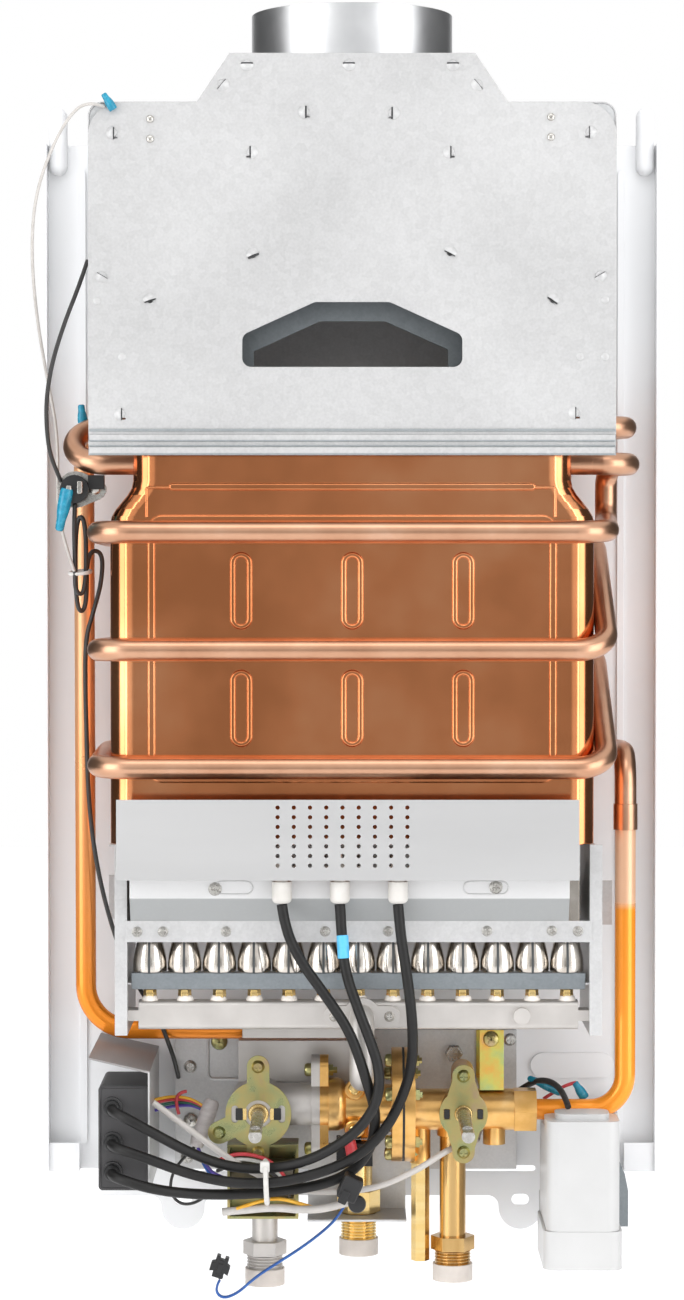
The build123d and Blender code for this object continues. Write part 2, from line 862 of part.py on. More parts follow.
# Hood: front plate with the relief slot, box, baffle and flue collar
tab_places = [(x, hood_shoulder - down) for x, down in hood_tabs]
mark_places = [(x, hood_shoulder - down) for x, down in hood_marks]
plate_back = hood_front - hood_sheet
with BuildPart() as hood_front_plate:
    with BuildSketch(facing(plate_back)):
        hood_outline(hood_corner, hood_base)
    extrude(amount=hood_sheet)
    with BuildSketch(facing(plate_back)) as relief:
        with BuildLine():
            side = relief_width / 2
            top = relief_base + relief_height
            Polyline((-side, relief_base), (side, relief_base), (side, relief_base + relief_side),
                     (relief_flat / 2, top), (-relief_flat / 2, top),
                     (-side, relief_base + relief_side), close=True)
        make_face()
        fillet(relief.vertices(), relief_round)
    extrude(amount=hood_sheet, mode=Mode.SUBTRACT)
    with BuildSketch(facing(hood_front)):
        with Locations((0, hood_base + hem_height / 2)):
            Rectangle(hood_width, hem_height)
        with Locations((0, hood_base + fold_up)):
            Rectangle(hood_width, fold_width)
    extrude(amount=fold_rise, taper=head_taper)
    with BuildSketch(facing(hood_front)):
        with Locations(*tab_places):
            Circle(tab_radius)
    extrude(amount=tab_rise, taper=head_taper)
    with BuildSketch(facing(plate_back)):
        with Locations(*[(x, z - tab_radius) for x, z in tab_places]):
            Rectangle(2 * tab_radius, tab_slit)
        with Locations(*mark_places):
            Circle(mark_radius)
    extrude(amount=hood_sheet + tab_rise, mode=Mode.SUBTRACT)
save(hood_front_plate, "hood_front_plate")

hood_opening = fin_box_width - 2 * hood_lip
with BuildPart() as hood_body:
    with BuildSketch(facing(hood_back)):
        hood_outline(hood_body_corner, hood_floor)
    extrude(amount=plate_back - hood_back)
    with BuildSketch(facing(hood_back + hood_sheet)):
        hood_outline(hood_body_corner, hood_floor)
        offset(amount=-hood_sheet, mode=Mode.REPLACE)
    extrude(amount=hood_front - hood_back, mode=Mode.SUBTRACT)
    with BuildSketch(level(hood_floor)):
        with Locations((0, -shell_mid)):
            Rectangle(hood_opening, shell_depth - 2 * hood_lip)
    extrude(amount=hood_sheet, mode=Mode.SUBTRACT)
    with BuildSketch(level(hood_top - hood_sheet)):
        with Locations((0, -hood_mid)):
            Circle(collar_radius - collar_step + seat_gap)
    extrude(amount=hood_sheet, mode=Mode.SUBTRACT)
save(hood_body, "hood_body")

with BuildPart() as hood_baffle:
    baffle_base = hood_floor + hood_sheet
    with BuildSketch(facing(baffle_depth)):
        with Locations((0, baffle_base + baffle_height / 2)):
            Rectangle(hood_width - 2 * hood_sheet - 2 * seat_gap, baffle_height)
        with Locations((0, inner_slot_base + inner_slot_height / 2)):
            RectangleRounded(inner_slot_width, inner_slot_height, relief_round, mode=Mode.SUBTRACT)
    extrude(amount=hood_sheet)
save(hood_baffle, "hood_baffle")

with BuildPart() as flue_collar:
    collar_base = hood_top - hood_sheet - collar_tuck
    collar_top = hood_top + collar_height
    add_upright(0, hood_mid, (hood_top, collar_top), collar_radius)
    add_upright(0, hood_mid, (collar_base, hood_top), collar_radius - collar_step)
    add_upright(0, hood_mid, (collar_base - overrun, collar_top + overrun),
                collar_radius - collar_wall, mode=Mode.SUBTRACT)
save(flue_collar, "flue_collar")


def shell_volume(inset, tail, mode):
    """The shell's chamber, flare and fin box, drawn in by an inset and run on at both ends by a tail."""
    wide = shell_width - 2 * inset
    slim = fin_box_width - 2 * inset
    deep = shell_depth - 2 * inset
    corner = shell_corner - inset
    rings = []
    for step in range(flare_steps + 1):
        flare_share = (1 - cos(pi * step / flare_steps)) / 2
        with BuildSketch(level(flare_base + flare_height * step / flare_steps)) as ring:
            with Locations((0, -shell_mid)):
                RectangleRounded(wide + (slim - wide) * flare_share, deep, corner)
        rings.append(ring.sketch)
    extrude(rings[0], amount=-shell_height - tail, mode=mode)
    loft(rings, ruled=True, mode=mode)
    extrude(rings[-1], amount=fin_box_height + tail, mode=mode)


fin_tube_axes = [(fin_depth_front, fin_row_low), (fin_depth_middle, fin_row_high),
                 (fin_depth_back, fin_row_high)]
rib_places = [(x, row) for row in rib_rows for x in (-rib_pitch, 0, rib_pitch)]
with BuildPart() as exchanger_shell:
    shell_volume(0, 0, Mode.ADD)
    with BuildSketch(facing(shell_front)):
        frame_height = bead_frame_top - bead_frame_base
        frame_width = bead_frame_width
        frame_middle = (bead_frame_top + bead_frame_base) / 2
        with Locations((0, frame_middle)):
            RectangleRounded(frame_width, frame_height, 2 * bead_width)
            RectangleRounded(frame_width - 2 * bead_width, frame_height - 2 * bead_width, bead_width,
                             mode=Mode.SUBTRACT)
        with Locations((0, flare_top - upper_bead_drop)):
            SlotOverall(upper_bead_width, bead_width)
        with Locations(*rib_places):
            SlotOverall(rib_length, rib_width, rotation=90)
            SlotOverall(rib_length - 2 * rib_band, rib_width - 2 * rib_band, rotation=90,
                        mode=Mode.SUBTRACT)
    extrude(amount=bead_rise)
    bead_edges = [e for e in exchanger_shell.edges()
                  if abs(e.center().Y + shell_front + bead_rise) < match]
    fillet(bead_edges, bead_round)
    shell_volume(shell_wall, overrun, Mode.SUBTRACT)
    with BuildSketch(across(-shell_width / 2)):
        with Locations(*[(-depth, height) for depth, height in fin_tube_axes]):
            Circle(tube_radius + seat_gap)
    extrude(amount=shell_width, mode=Mode.SUBTRACT)
save(exchanger_shell, "exchanger_shell")

with BuildPart() as fin_pack:
    fin_span = fin_box_width - 2 * shell_wall - 2 * fin_margin - fin_sheet
    fin_depth = shell_depth - 2 * (shell_wall + fin_inset)
    fin_height = fin_pack_top - fin_pack_base
    fin_xs = [-fin_span / 2 + fin_span * index / (fin_count - 1) for index in range(fin_count)]
    with BuildSketch(*[across(x - fin_sheet / 2) for x in fin_xs]):
        with Locations((-shell_mid, (fin_pack_base + fin_pack_top) / 2)):
            Rectangle(fin_depth, fin_height)
        with Locations(*[(-depth, height) for depth, height in fin_tube_axes]):
            Circle(tube_radius + running_gap, mode=Mode.SUBTRACT)
    extrude(amount=fin_sheet)
save(fin_pack, "fin_pack")

# Fin tubes with their return bends
bend_x = fin_tube_end + bend_reach
bore = tube_radius - tube_wall
with BuildPart() as fin_tubes:
    for depth, height in fin_tube_axes:
        add_crosswise((-fin_tube_end, fin_tube_end), depth, height, tube_radius)
        add_crosswise((-fin_tube_end, fin_tube_end), depth, height, bore, mode=Mode.SUBTRACT)
    front, middle, back = fin_tube_axes
    add_tube([(-fin_tube_end, *front), (-bend_x, *front), (-bend_x, *middle), (-fin_tube_end, *middle)],
             bend_radius_left, tube_radius, bore)
    add_tube([(fin_tube_end, *middle), (bend_x, *middle), (bend_x, *back), (fin_tube_end, *back)],
             bend_radius_right, tube_radius, bore)
save(fin_tubes, "fin_tubes")

# Water coil: belled tail on the right, turns round the shell, riser to the front fin tube
coil_route = [(cold_pipe_x, valve_depth, bell_base + bell_length),
              (cold_pipe_x, valve_depth, coil_first + coil_tail_lift),
              (cold_pipe_x, coil_back, coil_first + coil_tail_lift)]
for turn in range(coil_passes):
    height = coil_first + coil_pitch * turn
    behind = coil_first + coil_tail_lift if turn == 0 else height - coil_pitch + coil_climb
    if turn:
        coil_route.append((coil_x, coil_back, behind))
    coil_route.append((-coil_x, coil_back, behind))
    coil_route.append((-coil_x, coil_front, height))
    coil_route.append((coil_x, coil_front, height))
coil_route.append((riser_x, riser_depth, height + riser_lift))
coil_route.append((riser_x, riser_depth, fin_row_low))
coil_route.append((turn_x, fin_depth_front, fin_row_low))
coil_route.append((fin_tube_end, fin_depth_front, fin_row_low))
coil_bends = [coil_corner] * (len(coil_route) - 5) + [riser_corner, riser_corner, turn_corner]
with BuildPart() as water_coil:
    add_tube(coil_route, coil_bends, tube_radius, bore)
    add_upright(cold_pipe_x, valve_depth, (bell_base, bell_base + bell_length), bell_radius)
    add_upright(cold_pipe_x, valve_depth, (bell_base - overrun, bell_base + bell_length),
                cold_pipe_radius + seat_gap, mode=Mode.SUBTRACT)
save(water_coil, "water_coil")

# Hot and cold pipes
nut_right = water_body_right + nut_length
with BuildPart() as hot_pipe:
    add_tube([(-fin_tube_end, fin_depth_back, fin_row_high), (-hot_pipe_x, fin_depth_back, fin_row_high),
              (-hot_pipe_x, hot_depth, hot_pipe_height), (hot_x, hot_depth, hot_pipe_height),
              (hot_x, hot_depth, hot_socket_top)],
             [hot_bend_top, hot_bend_low, hot_bend_out], hot_pipe_radius, hot_pipe_radius - tube_wall)
save(hot_pipe, "hot_pipe")

with BuildPart() as cold_pipe:
    add_tube([(nut_right, valve_depth, valve_height), (cold_pipe_x, valve_depth, valve_height),
              (cold_pipe_x, valve_depth, bell_base + bell_length - seat_gap)],
             cold_bend, cold_pipe_radius, cold_pipe_radius - tube_wall)
save(cold_pipe, "cold_pipe")

# Brackets between the panel and the shell, hood, burner and battery box
end_plate_x = [burner_x - end_gap - end_sheet, burner_x + end_gap]
with BuildPart() as panel_brackets:
    for x in (-shell_bracket_x, shell_bracket_x):
        z_bracket(x, shell_bracket_base, shell_back)
    for x in (-hood_bracket_x, hood_bracket_x):
        z_bracket(x, hood_bracket_base, hood_back)
    for x in end_plate_x:
        z_bracket(x + end_sheet, burner_bracket_base, end_back)
    add_block((battery_right, battery_right + bracket_sheet), (panel_sheet, valve_depth),
              (lug_height + bracket_sheet, lug_height + bracket_height))
save(panel_brackets, "panel_brackets")

# Burner tray: end plates joined by the air plate under the bells; crossbar in front
bar_xs = [burner_x + bar_pitch * (index - (bar_count - 1) / 2) for index in range(bar_count)]
crossbar_front = bar_front + crossbar_sheet
left_plate = (end_plate_x[0], end_plate_x[0] + end_sheet)
right_plate = (end_plate_x[1], end_plate_x[1] + end_sheet)
with BuildPart() as burner_tray:
    for plate, outer in ((left_plate, -shell_width / 2), (right_plate, shell_width / 2)):
        side = 1 if outer > 0 else -1
        face = plate[1] if side > 0 else plate[0]
        add_block(plate, (end_back, bar_front), (end_base, shell_base))
        lip = (min(face, face + side * end_flange), max(face, face + side * end_flange))
        add_block(lip, (bar_front - end_sheet, bar_front), (end_base, shell_base))
        seat = (min(face, outer), max(face, outer))
        add_block(seat, (end_back, bar_front), (shell_base - end_sheet, shell_base))
    add_block((left_plate[1], right_plate[0]), (air_plate_back, air_plate_front),
              (air_plate_height, air_plate_height + end_sheet))
    with BuildSketch(level(air_plate_height)):
        with Locations(*[(x, -venturi_depth) for x in bar_xs]):
            Circle(air_hole_radius)
    extrude(amount=end_sheet, mode=Mode.SUBTRACT)
save(burner_tray, "burner_tray")

with BuildPart() as burner_crossbar:
    add_block((left_plate[0], right_plate[1]), (bar_front, crossbar_front),
              (crossbar_base, crossbar_base + crossbar_height))
save(burner_crossbar, "burner_crossbar")

with BuildPart() as burner_bars:
    venturi_top = venturi_base + venturi_height
    rim_top = venturi_base + venturi_rim
    low = [(x, -venturi_depth, venturi_base) for x in bar_xs]
    with Locations(*low):
        Cylinder(venturi_low_radius, venturi_rim, align=(Align.CENTER, Align.CENTER, Align.MIN))
    with Locations(*[(x, -venturi_depth, rim_top) for x in bar_xs]):
        Cone(venturi_low_radius, venturi_high_radius, venturi_height - venturi_rim,
             align=(Align.CENTER, Align.CENTER, Align.MIN))
    with Locations(*[(x, -venturi_depth, venturi_top) for x in bar_xs]):
        Cylinder(venturi_high_radius, bar_base - venturi_top,
                 align=(Align.CENTER, Align.CENTER, Align.MIN))
    with BuildSketch(level(bar_base)):
        with Locations(*[(x, -(bar_back + bar_front) / 2) for x in bar_xs]):
            Rectangle(bar_thick, bar_front - bar_back)
    extrude(amount=bar_top - bar_base)
    with BuildSketch(level(bar_top - bar_slot_depth)):
        with Locations(*[(x, -(bar_back + bar_front) / 2) for x in bar_xs]):
            Rectangle(bar_slot, bar_front - bar_back - bar_thick)
    extrude(amount=bar_slot_depth, mode=Mode.SUBTRACT)
    with BuildSketch(level(rim_top)):
        with Locations(*[(x, -venturi_depth) for x in bar_xs]):
            Rectangle(seam_width, 2 * (venturi_high_radius + seam_rise))
    extrude(amount=bar_base - rim_top)
    throat = venturi_low_radius - venturi_rim / 2
    with Locations(*low):
        Cone(throat, venturi_high_radius - venturi_rim, venturi_height,
             align=(Align.CENTER, Align.CENTER, Align.MIN), mode=Mode.SUBTRACT)
save(burner_bars, "burner_bars")

# Manifold with its plug, jets, and the elbow that feeds it
manifold_top = manifold_base + manifold_height
manifold_depth = (manifold_back + manifold_front) / 2
manifold_xs = (burner_x - manifold_half, burner_x + manifold_half)
plug_height = (manifold_base + manifold_top) / 2
with BuildPart() as gas_manifold:
    with BuildSketch(across(manifold_xs[0])):
        with Locations((-manifold_depth, plug_height)):
            RectangleRounded(manifold_front - manifold_back, manifold_height, manifold_round)
    extrude(amount=manifold_xs[1] - manifold_xs[0])
    ear_heights = (plug_height - manifold_ear / 2, plug_height + manifold_ear / 2)
    add_block((left_plate[1], manifold_xs[0] + manifold_round), (manifold_back, manifold_front), ear_heights)
    add_block((manifold_xs[1] - manifold_round, right_plate[0]), (manifold_back, manifold_front), ear_heights)
    add_outward(plug_x, (manifold_front, manifold_front + plug_rise), plug_height, plug_radius)
save(gas_manifold, "gas_manifold")

with BuildPart() as gas_jets:
    jet_places = [(x, -venturi_depth) for x in bar_xs]
    with BuildSketch(level(manifold_top)):
        with Locations(*jet_places):
            RegularPolygon(jet_hex, 6, major_radius=False)
    extrude(amount=jet_hex_height)
    with BuildSketch(level(manifold_top)):
        with Locations(*jet_places):
            Circle(jet_radius)
    extrude(amount=jet_height)
    with BuildSketch(level(manifold_top)):
        with Locations(*jet_places):
            Circle(jet_bore)
    extrude(amount=jet_height, mode=Mode.SUBTRACT)
save(gas_jets, "gas_jets")

arm_middle = (arm_base + arm_top) / 2
with BuildPart() as gas_elbow:
    elbow_height = plug_height
    add_tube([(elbow_x, manifold_front, elbow_height), (elbow_x, elbow_front, elbow_height),
              (elbow_x, elbow_front, arm_middle), (elbow_x, arm_front, arm_middle)],
             elbow_bend, elbow_radius)
    with BuildSketch(facing(manifold_front)):
        with Locations((elbow_x, elbow_height)):
            SlotCenterToCenter(2 * elbow_flange_half, 2 * elbow_ear_radius)
            Circle(elbow_hub_radius)
    extrude(amount=elbow_flange_sheet)
save(gas_elbow, "gas_elbow")

# Shield bracket, perforated shield, electrodes and their boots
strip_front = strip_depth + strip_sheet
with BuildPart() as shield_bracket:
    with BuildSketch(across(-strip_left)):
        with BuildLine():
            Polyline((-bar_front, strip_base), (-crossbar_front, strip_base), (-strip_front, strip_knee),
                     (-strip_front, strip_top), (-strip_depth, strip_top), (-strip_depth, strip_knee),
                     close=True)
        make_face()
    extrude(amount=strip_left + strip_right)
save(shield_bracket, "shield_bracket")

with BuildPart() as splash_shield:
    shield_base = strip_top
    add_block((-shield_left, shield_right), (shield_depth - shield_sheet, shield_depth),
              (shield_base, shield_base + shield_height))
    add_block((-shield_left, shield_right), (strip_depth, shield_depth),
              (shield_base, shield_base + shield_sheet))
    add_block((-notch_left, notch_right), (strip_depth - overrun, shield_depth - shield_sheet),
              (shield_base, shield_base + shield_sheet), mode=Mode.SUBTRACT)
    with BuildSketch(facing(shield_depth - shield_sheet)):
        with Locations((perf_x, shield_base + perf_rise)):
            with GridLocations(perf_pitch_x, perf_pitch_z, perf_columns, perf_rows):
                Circle(perf_radius)
    extrude(amount=shield_sheet, mode=Mode.SUBTRACT)
save(splash_shield, "splash_shield")

with BuildPart() as electrodes:
    for x in electrode_x:
        add_upright(x, electrode_depth, (ceramic_base, ceramic_top), ceramic_radius)
        add_tube([(x, electrode_depth, ceramic_top), (x, electrode_depth, rod_height),
                  (x, rod_back, rod_height)], rod_corner, rod_radius)
save(electrodes, "electrodes")

with BuildPart() as electrode_boots:
    for x in electrode_x:
        add_upright(x, electrode_depth, (boot_base, boot_top), boot_radius)
    boot_edges = [e for e in electrode_boots.edges() if abs(e.center().Z - boot_base) < match]
    fillet(boot_edges, boot_round)
save(electrode_boots, "electrode_boots")

# Gas valve body with its throat, flange, arm and poppet chamber
with BuildPart() as gas_valve_body:
    add_outward(gas_x, (gas_body_back, gas_body_front), valve_height, gas_body_radius)
    add_crosswise((gas_x, flange_left), valve_depth, link_height, gas_throat_radius)
    two_ear_flange(flange_left, flange_half, flange_ear_radius, flange_hub_radius, flange_sheet,
                   link_height, valve_depth)
    add_block((gas_x - gas_throat_radius, arm_reach), (arm_back, arm_front), (arm_base, arm_top))
    add_upright(gas_inlet_x, inlet_depth, (inlet_top, valve_height), inlet_radius + bracket_sheet)
    add_crosswise((chamber_left, seat_left), valve_depth, link_height, chamber_radius, mode=Mode.SUBTRACT)
    add_crosswise((seat_left, flange_face + overrun), valve_depth, link_height, seat_radius,
                  mode=Mode.SUBTRACT)
    add_outward(gas_x, (plug_back, plug_front), valve_height, plug_bore + running_gap, mode=Mode.SUBTRACT)
    add_outward(gas_x, (plug_back, gas_body_front + overrun), valve_height, spindle_radius + running_gap,
                mode=Mode.SUBTRACT)
save(gas_valve_body, "gas_valve_body")


def add_spindle(x, back):
    """A control spindle with a flat near its end."""
    add_outward(x, (back, spindle_end), valve_height, spindle_radius)
    flat_height = valve_height + spindle_radius - spindle_flat
    add_block((x - spindle_radius, x + spindle_radius),
              (spindle_end - spindle_flat_length, spindle_end + overrun),
              (flat_height, flat_height + spindle_radius), mode=Mode.SUBTRACT)


with BuildPart() as gas_spindle:
    add_spindle(gas_x, plug_front - seat_gap)
    add_outward(gas_x, (plug_back + seat_gap, plug_front - seat_gap), valve_height, plug_bore)
save(gas_spindle, "gas_spindle")

plate_front = gas_body_front + plate_sheet
gas_screw_places = [(gas_x + x, valve_height + up) for x, up in gas_screws]
with BuildPart() as gas_cover_plate:
    with BuildSketch(facing(gas_body_front)) as gas_plate_face:
        with Locations((gas_x, valve_height)):
            Circle(plate_radius)
        with Locations(*gas_screw_places):
            Circle(plate_ear_radius)
        for x, up in gas_screws:
            with Locations((gas_x + x / 2, valve_height + up / 2)):
                turn = Vector(x, up).get_signed_angle(Vector(1, 0), Vector(0, 0, -1))
                Rectangle(Vector(x, up).length, 2 * plate_ear_radius, rotation=turn)
        with Locations((gas_x, valve_height)):
            Circle(plate_window_radius, mode=Mode.SUBTRACT)
        with Locations((gas_x - plate_slot_out, valve_height), (gas_x + plate_slot_out, valve_height)):
            SlotOverall(plate_slot_length, plate_slot_width, rotation=90, mode=Mode.SUBTRACT)
    extrude(amount=plate_sheet)
save(gas_cover_plate, "gas_cover_plate")

# Solenoid: frame, coil and plunger
solenoid_height = (solenoid_base + solenoid_top) / 2
solenoid_depth = (solenoid_back + solenoid_front) / 2
with BuildPart() as solenoid_frame:
    depths = (solenoid_back, solenoid_front)
    heights = (solenoid_base, solenoid_top)
    sheet = solenoid_sheet
    add_block((solenoid_left, solenoid_left + sheet), depths, heights)
    add_block((solenoid_right - sheet, solenoid_right), depths, heights)
    add_block((solenoid_left, solenoid_right), depths, (solenoid_base, solenoid_base + sheet))
    add_block((solenoid_left, solenoid_right), depths, (solenoid_top - sheet, solenoid_top))
    add_upright(gas_x, solenoid_depth, (solenoid_top, valve_height - gas_body_radius), post_radius)
save(solenoid_frame, "solenoid_frame")

with BuildPart() as solenoid_coil:
    coil_span = (solenoid_left + solenoid_sheet, solenoid_right - solenoid_sheet - coil_body_gap)
    add_crosswise(coil_span, solenoid_depth, solenoid_height, coil_body_radius)
    add_crosswise((plunger_left - coil_body_gap, solenoid_right), solenoid_depth, solenoid_height,
                  plunger_radius + running_gap, mode=Mode.SUBTRACT)
save(solenoid_coil, "solenoid_coil")

with BuildPart() as solenoid_plunger:
    add_crosswise((plunger_left, plunger_right), solenoid_depth, solenoid_height, plunger_radius)
save(solenoid_plunger, "solenoid_plunger")

# Gas inlet and its cap
with BuildPart() as gas_inlet:
    add_upright(gas_inlet_x, inlet_depth, (gas_hex_top, inlet_top), inlet_radius)
    add_upright(gas_inlet_x, inlet_depth, (gas_hex_top - hex_height, gas_hex_top), hex_half, sides=6)
    gas_thread_base = add_thread(gas_inlet_x, inlet_depth, gas_hex_top - hex_height, thread_turns)
    add_upright(gas_inlet_x, inlet_depth, (gas_thread_base - overrun, inlet_top),
                inlet_radius - 2 * tube_wall, mode=Mode.SUBTRACT)
save(gas_inlet, "gas_inlet")

with BuildPart() as gas_cap:
    add_cap(gas_inlet_x, inlet_depth, gas_thread_base)
save(gas_cap, "gas_cap")

# Water valve: diaphragm cover with its neck, diaphragm, push rod, body
with BuildPart() as diaphragm_cover:
    two_ear_flange(flange_face, flange_half, flange_ear_radius, flange_hub_radius, flange_sheet,
                   link_height, valve_depth)
    add_crosswise((flange_face, disc_left), valve_depth, link_height, neck_radius)
    add_crosswise((disc_left, diaphragm_left), valve_depth, link_height, disc_radius)
    add_crosswise((diaphragm_left - pocket_depth, diaphragm_left), valve_depth, link_height,
                  pocket_radius, mode=Mode.SUBTRACT)
    add_crosswise((flange_face - overrun, diaphragm_left), valve_depth, link_height, rod_bore,
                  mode=Mode.SUBTRACT)
save(diaphragm_cover, "diaphragm_cover")

with BuildPart() as diaphragm:
    add_crosswise((diaphragm_left, diaphragm_right), valve_depth, link_height, disc_radius - seat_gap)
save(diaphragm, "diaphragm")

with BuildPart() as push_rod:
    rod_right = diaphragm_left - seat_gap
    add_crosswise((rod_right - disc_plate_sheet, rod_right), valve_depth, link_height, disc_plate_radius)
    add_crosswise((seat_left - poppet_sheet, rod_right), valve_depth, link_height, push_rod_radius)
    add_crosswise((seat_left - poppet_sheet, seat_left - seat_gap), valve_depth, link_height, poppet_radius)
save(push_rod, "push_rod")

water_ears = [(water_x, valve_height - water_ear_half), (water_x, valve_height + water_ear_half)]
with BuildPart() as water_valve_body:
    add_crosswise((diaphragm_right, disc_right), valve_depth, link_height, disc_radius)
    add_crosswise((disc_right, water_body_right), valve_depth, valve_height, water_body_radius)
    add_outward(water_x, (valve_depth, water_front), valve_height, water_hub_radius)
    low_ear, high_ear = water_ears
    ear_span = (water_x - plate_ear_radius, water_x + plate_ear_radius)
    for ear, back in ((low_ear, water_front - low_ear_sheet), (high_ear, valve_depth - water_body_radius / 2)):
        ear_depths = (back, water_front)
        add_outward(water_x, ear_depths, ear[1], plate_ear_radius)
        add_block(ear_span, ear_depths, (min(ear[1], valve_height), max(ear[1], valve_height)))
    add_upright(stub_x, valve_depth, (stub_base, valve_height), stub_radius)
    add_upright(drain_x, valve_depth, (drain_top, drain_boss_top), drain_boss_radius)
    add_upright(cold_inlet_x, valve_depth, (cold_inlet_top - cold_socket, valve_height),
                cold_inlet_radius + bracket_sheet)
    add_crosswise((diaphragm_right, diaphragm_right + pocket_depth), valve_depth, link_height,
                  pocket_radius, mode=Mode.SUBTRACT)
    add_crosswise((diaphragm_right, water_body_right + overrun), valve_depth, valve_height, water_bore,
                  mode=Mode.SUBTRACT)
    add_upright(cold_inlet_x, valve_depth, (0, cold_inlet_top), cold_inlet_radius + seat_gap,
                mode=Mode.SUBTRACT)
    add_outward(water_x, (valve_depth, water_front + overrun), valve_height,
                spindle_radius + running_gap, mode=Mode.SUBTRACT)
save(water_valve_body, "water_valve_body")

with BuildPart() as water_spindle:
    add_spindle(water_x, valve_depth + seat_gap)
save(water_spindle, "water_spindle")

water_plate_front = water_front + plate_sheet
blend_angle = degrees(atan2(water_ear_half, ear_blend_share * (water_plate_radius - plate_ear_radius)))
with BuildPart() as water_cover_plate:
    with BuildSketch(facing(water_front)):
        with Locations((water_x, valve_height)):
            SlotCenterToCenter(2 * water_ear_half, 2 * plate_ear_radius, rotation=90)
            Circle(water_plate_radius)
            for turn in (0, 180):
                Trapezoid(2 * ear_blend_share * water_plate_radius, water_ear_half, blend_angle,
                          align=(Align.CENTER, Align.MIN), rotation=turn)
            Circle(spindle_radius + plate_sheet, mode=Mode.SUBTRACT)
        with Locations((water_x - water_window_out, valve_height), (water_x + water_window_out, valve_height)):
            Rectangle(*water_window, mode=Mode.SUBTRACT)
    extrude(amount=plate_sheet)
save(water_cover_plate, "water_cover_plate")

with BuildPart() as drain_stick:
    add_upright(drain_x, valve_depth, (drain_base, drain_top - seat_gap), drain_hex, sides=6)
save(drain_stick, "drain_stick")

with BuildPart() as cold_inlet:
    add_upright(cold_inlet_x, valve_depth, (cold_hex_top, cold_inlet_top), cold_inlet_radius)
    add_upright(cold_inlet_x, valve_depth, (cold_hex_top - hex_height, cold_hex_top), hex_half, sides=6)
    cold_thread_base = add_thread(cold_inlet_x, valve_depth, cold_hex_top - hex_height, thread_turns)
    add_upright(cold_inlet_x, valve_depth, (cold_thread_base - overrun, cold_inlet_top),
                cold_inlet_radius - 2 * tube_wall, mode=Mode.SUBTRACT)
save(cold_inlet, "cold_inlet")

with BuildPart() as cold_cap:
    add_cap(cold_inlet_x, valve_depth, cold_thread_base)
save(cold_cap, "cold_cap")

with BuildPart() as union_nut:
    add_crosswise((water_body_right, nut_right), valve_depth, valve_height, nut_hex, sides=6)
    add_crosswise((water_body_right, nut_right), valve_depth, valve_height, water_bore, mode=Mode.SUBTRACT)
save(union_nut, "union_nut")

# Hot outlet fitting and its cap
with BuildPart() as hot_outlet:
    hot_hex_base = hot_hex_top - hot_hex_height
    add_upright(hot_x, hot_depth, (hot_hex_base, hot_hex_top), hex_half, sides=6)
    add_upright(hot_x, hot_depth, (hot_hex_top, hot_socket_top), hot_socket_radius)
    hot_thread_base = add_thread(hot_x, hot_depth, hot_hex_base, hot_thread_turns)
    add_upright(hot_x, hot_depth, (hot_thread_base - overrun, hot_socket_top + overrun),
                hot_pipe_radius - tube_wall, mode=Mode.SUBTRACT)
save(hot_outlet, "hot_outlet")

with BuildPart() as hot_cap:
    add_cap(hot_x, hot_depth, hot_thread_base)
save(hot_cap, "hot_cap")

# Valve plate with the shelf that steadies the hot outlet
with BuildPart() as valve_plate:
    plate_depths = (valve_plate_depth, valve_plate_depth + valve_plate_sheet)
    add_block((valve_plate_left, valve_plate_right), plate_depths, (valve_plate_base, valve_plate_top))
    side_sheet = valve_plate_sheet
    for x in (valve_plate_left, valve_plate_right - side_sheet):
        add_block((x, x + side_sheet), (panel_sheet, valve_plate_depth), (valve_plate_base, valve_plate_top))
    add_block((shelf_left, shelf_right), plate_depths, (shelf_height, valve_plate_base))
    add_block((shelf_left, shelf_right), (valve_plate_depth, shelf_front),
              (shelf_height - side_sheet, shelf_height))
    add_upright(hot_x, hot_depth, (shelf_height - 2 * side_sheet, shelf_height + side_sheet),
                thread_radius + 2 * seat_gap, mode=Mode.SUBTRACT)
    add_outward(gas_x, (valve_plate_depth, gas_body_back), valve_height, post_radius)
    add_outward(water_x, (valve_plate_depth, valve_depth - water_body_radius), valve_height, post_radius)
save(valve_plate, "valve_plate")

with BuildPart() as valve_strap:
    strap_base = valve_height + water_body_radius
    strap_depth = valve_plate_depth + valve_plate_sheet
    add_block((strap_left, strap_right), (strap_depth, strap_depth + strap_sheet), (strap_base, valve_plate_top))
    add_block((strap_left, strap_right), (strap_depth, valve_depth + water_body_radius / 2),
              (strap_base, strap_base + strap_sheet))
    add_block((strap_left, strap_right),
              (valve_depth + water_body_radius / 2 - strap_sheet, valve_depth + water_body_radius / 2),
              (strap_base, strap_top))
save(valve_strap, "valve_strap")

# Microswitch under the link's neck, with its lever
switch_depth = (switch_back + switch_front) / 2
with BuildPart() as microswitch:
    add_block((switch_left, switch_right), (switch_back, switch_front), (switch_base, switch_top))
    mast_left = (switch_left + switch_right - mast_width) / 2
    add_block((mast_left, mast_left + mast_width), (switch_back, switch_back + lug_sheet),
              (switch_top, link_height - neck_radius + seat_gap))
    lever_height = switch_top + lever_rise
    for depth in (switch_depth - lever_width / 2 - lug_gap - lug_sheet, switch_depth + lever_width / 2 + lug_gap):
        add_block((switch_left, switch_left + 2 * lug_sheet), (depth, depth + lug_sheet),
                  (switch_top, lever_height + lug_sheet))
    add_outward(switch_left + lug_sheet,
                (switch_depth - lever_width, switch_depth + lever_width), lever_height,
                lever_pin_radius / 2)
save(microswitch, "microswitch")

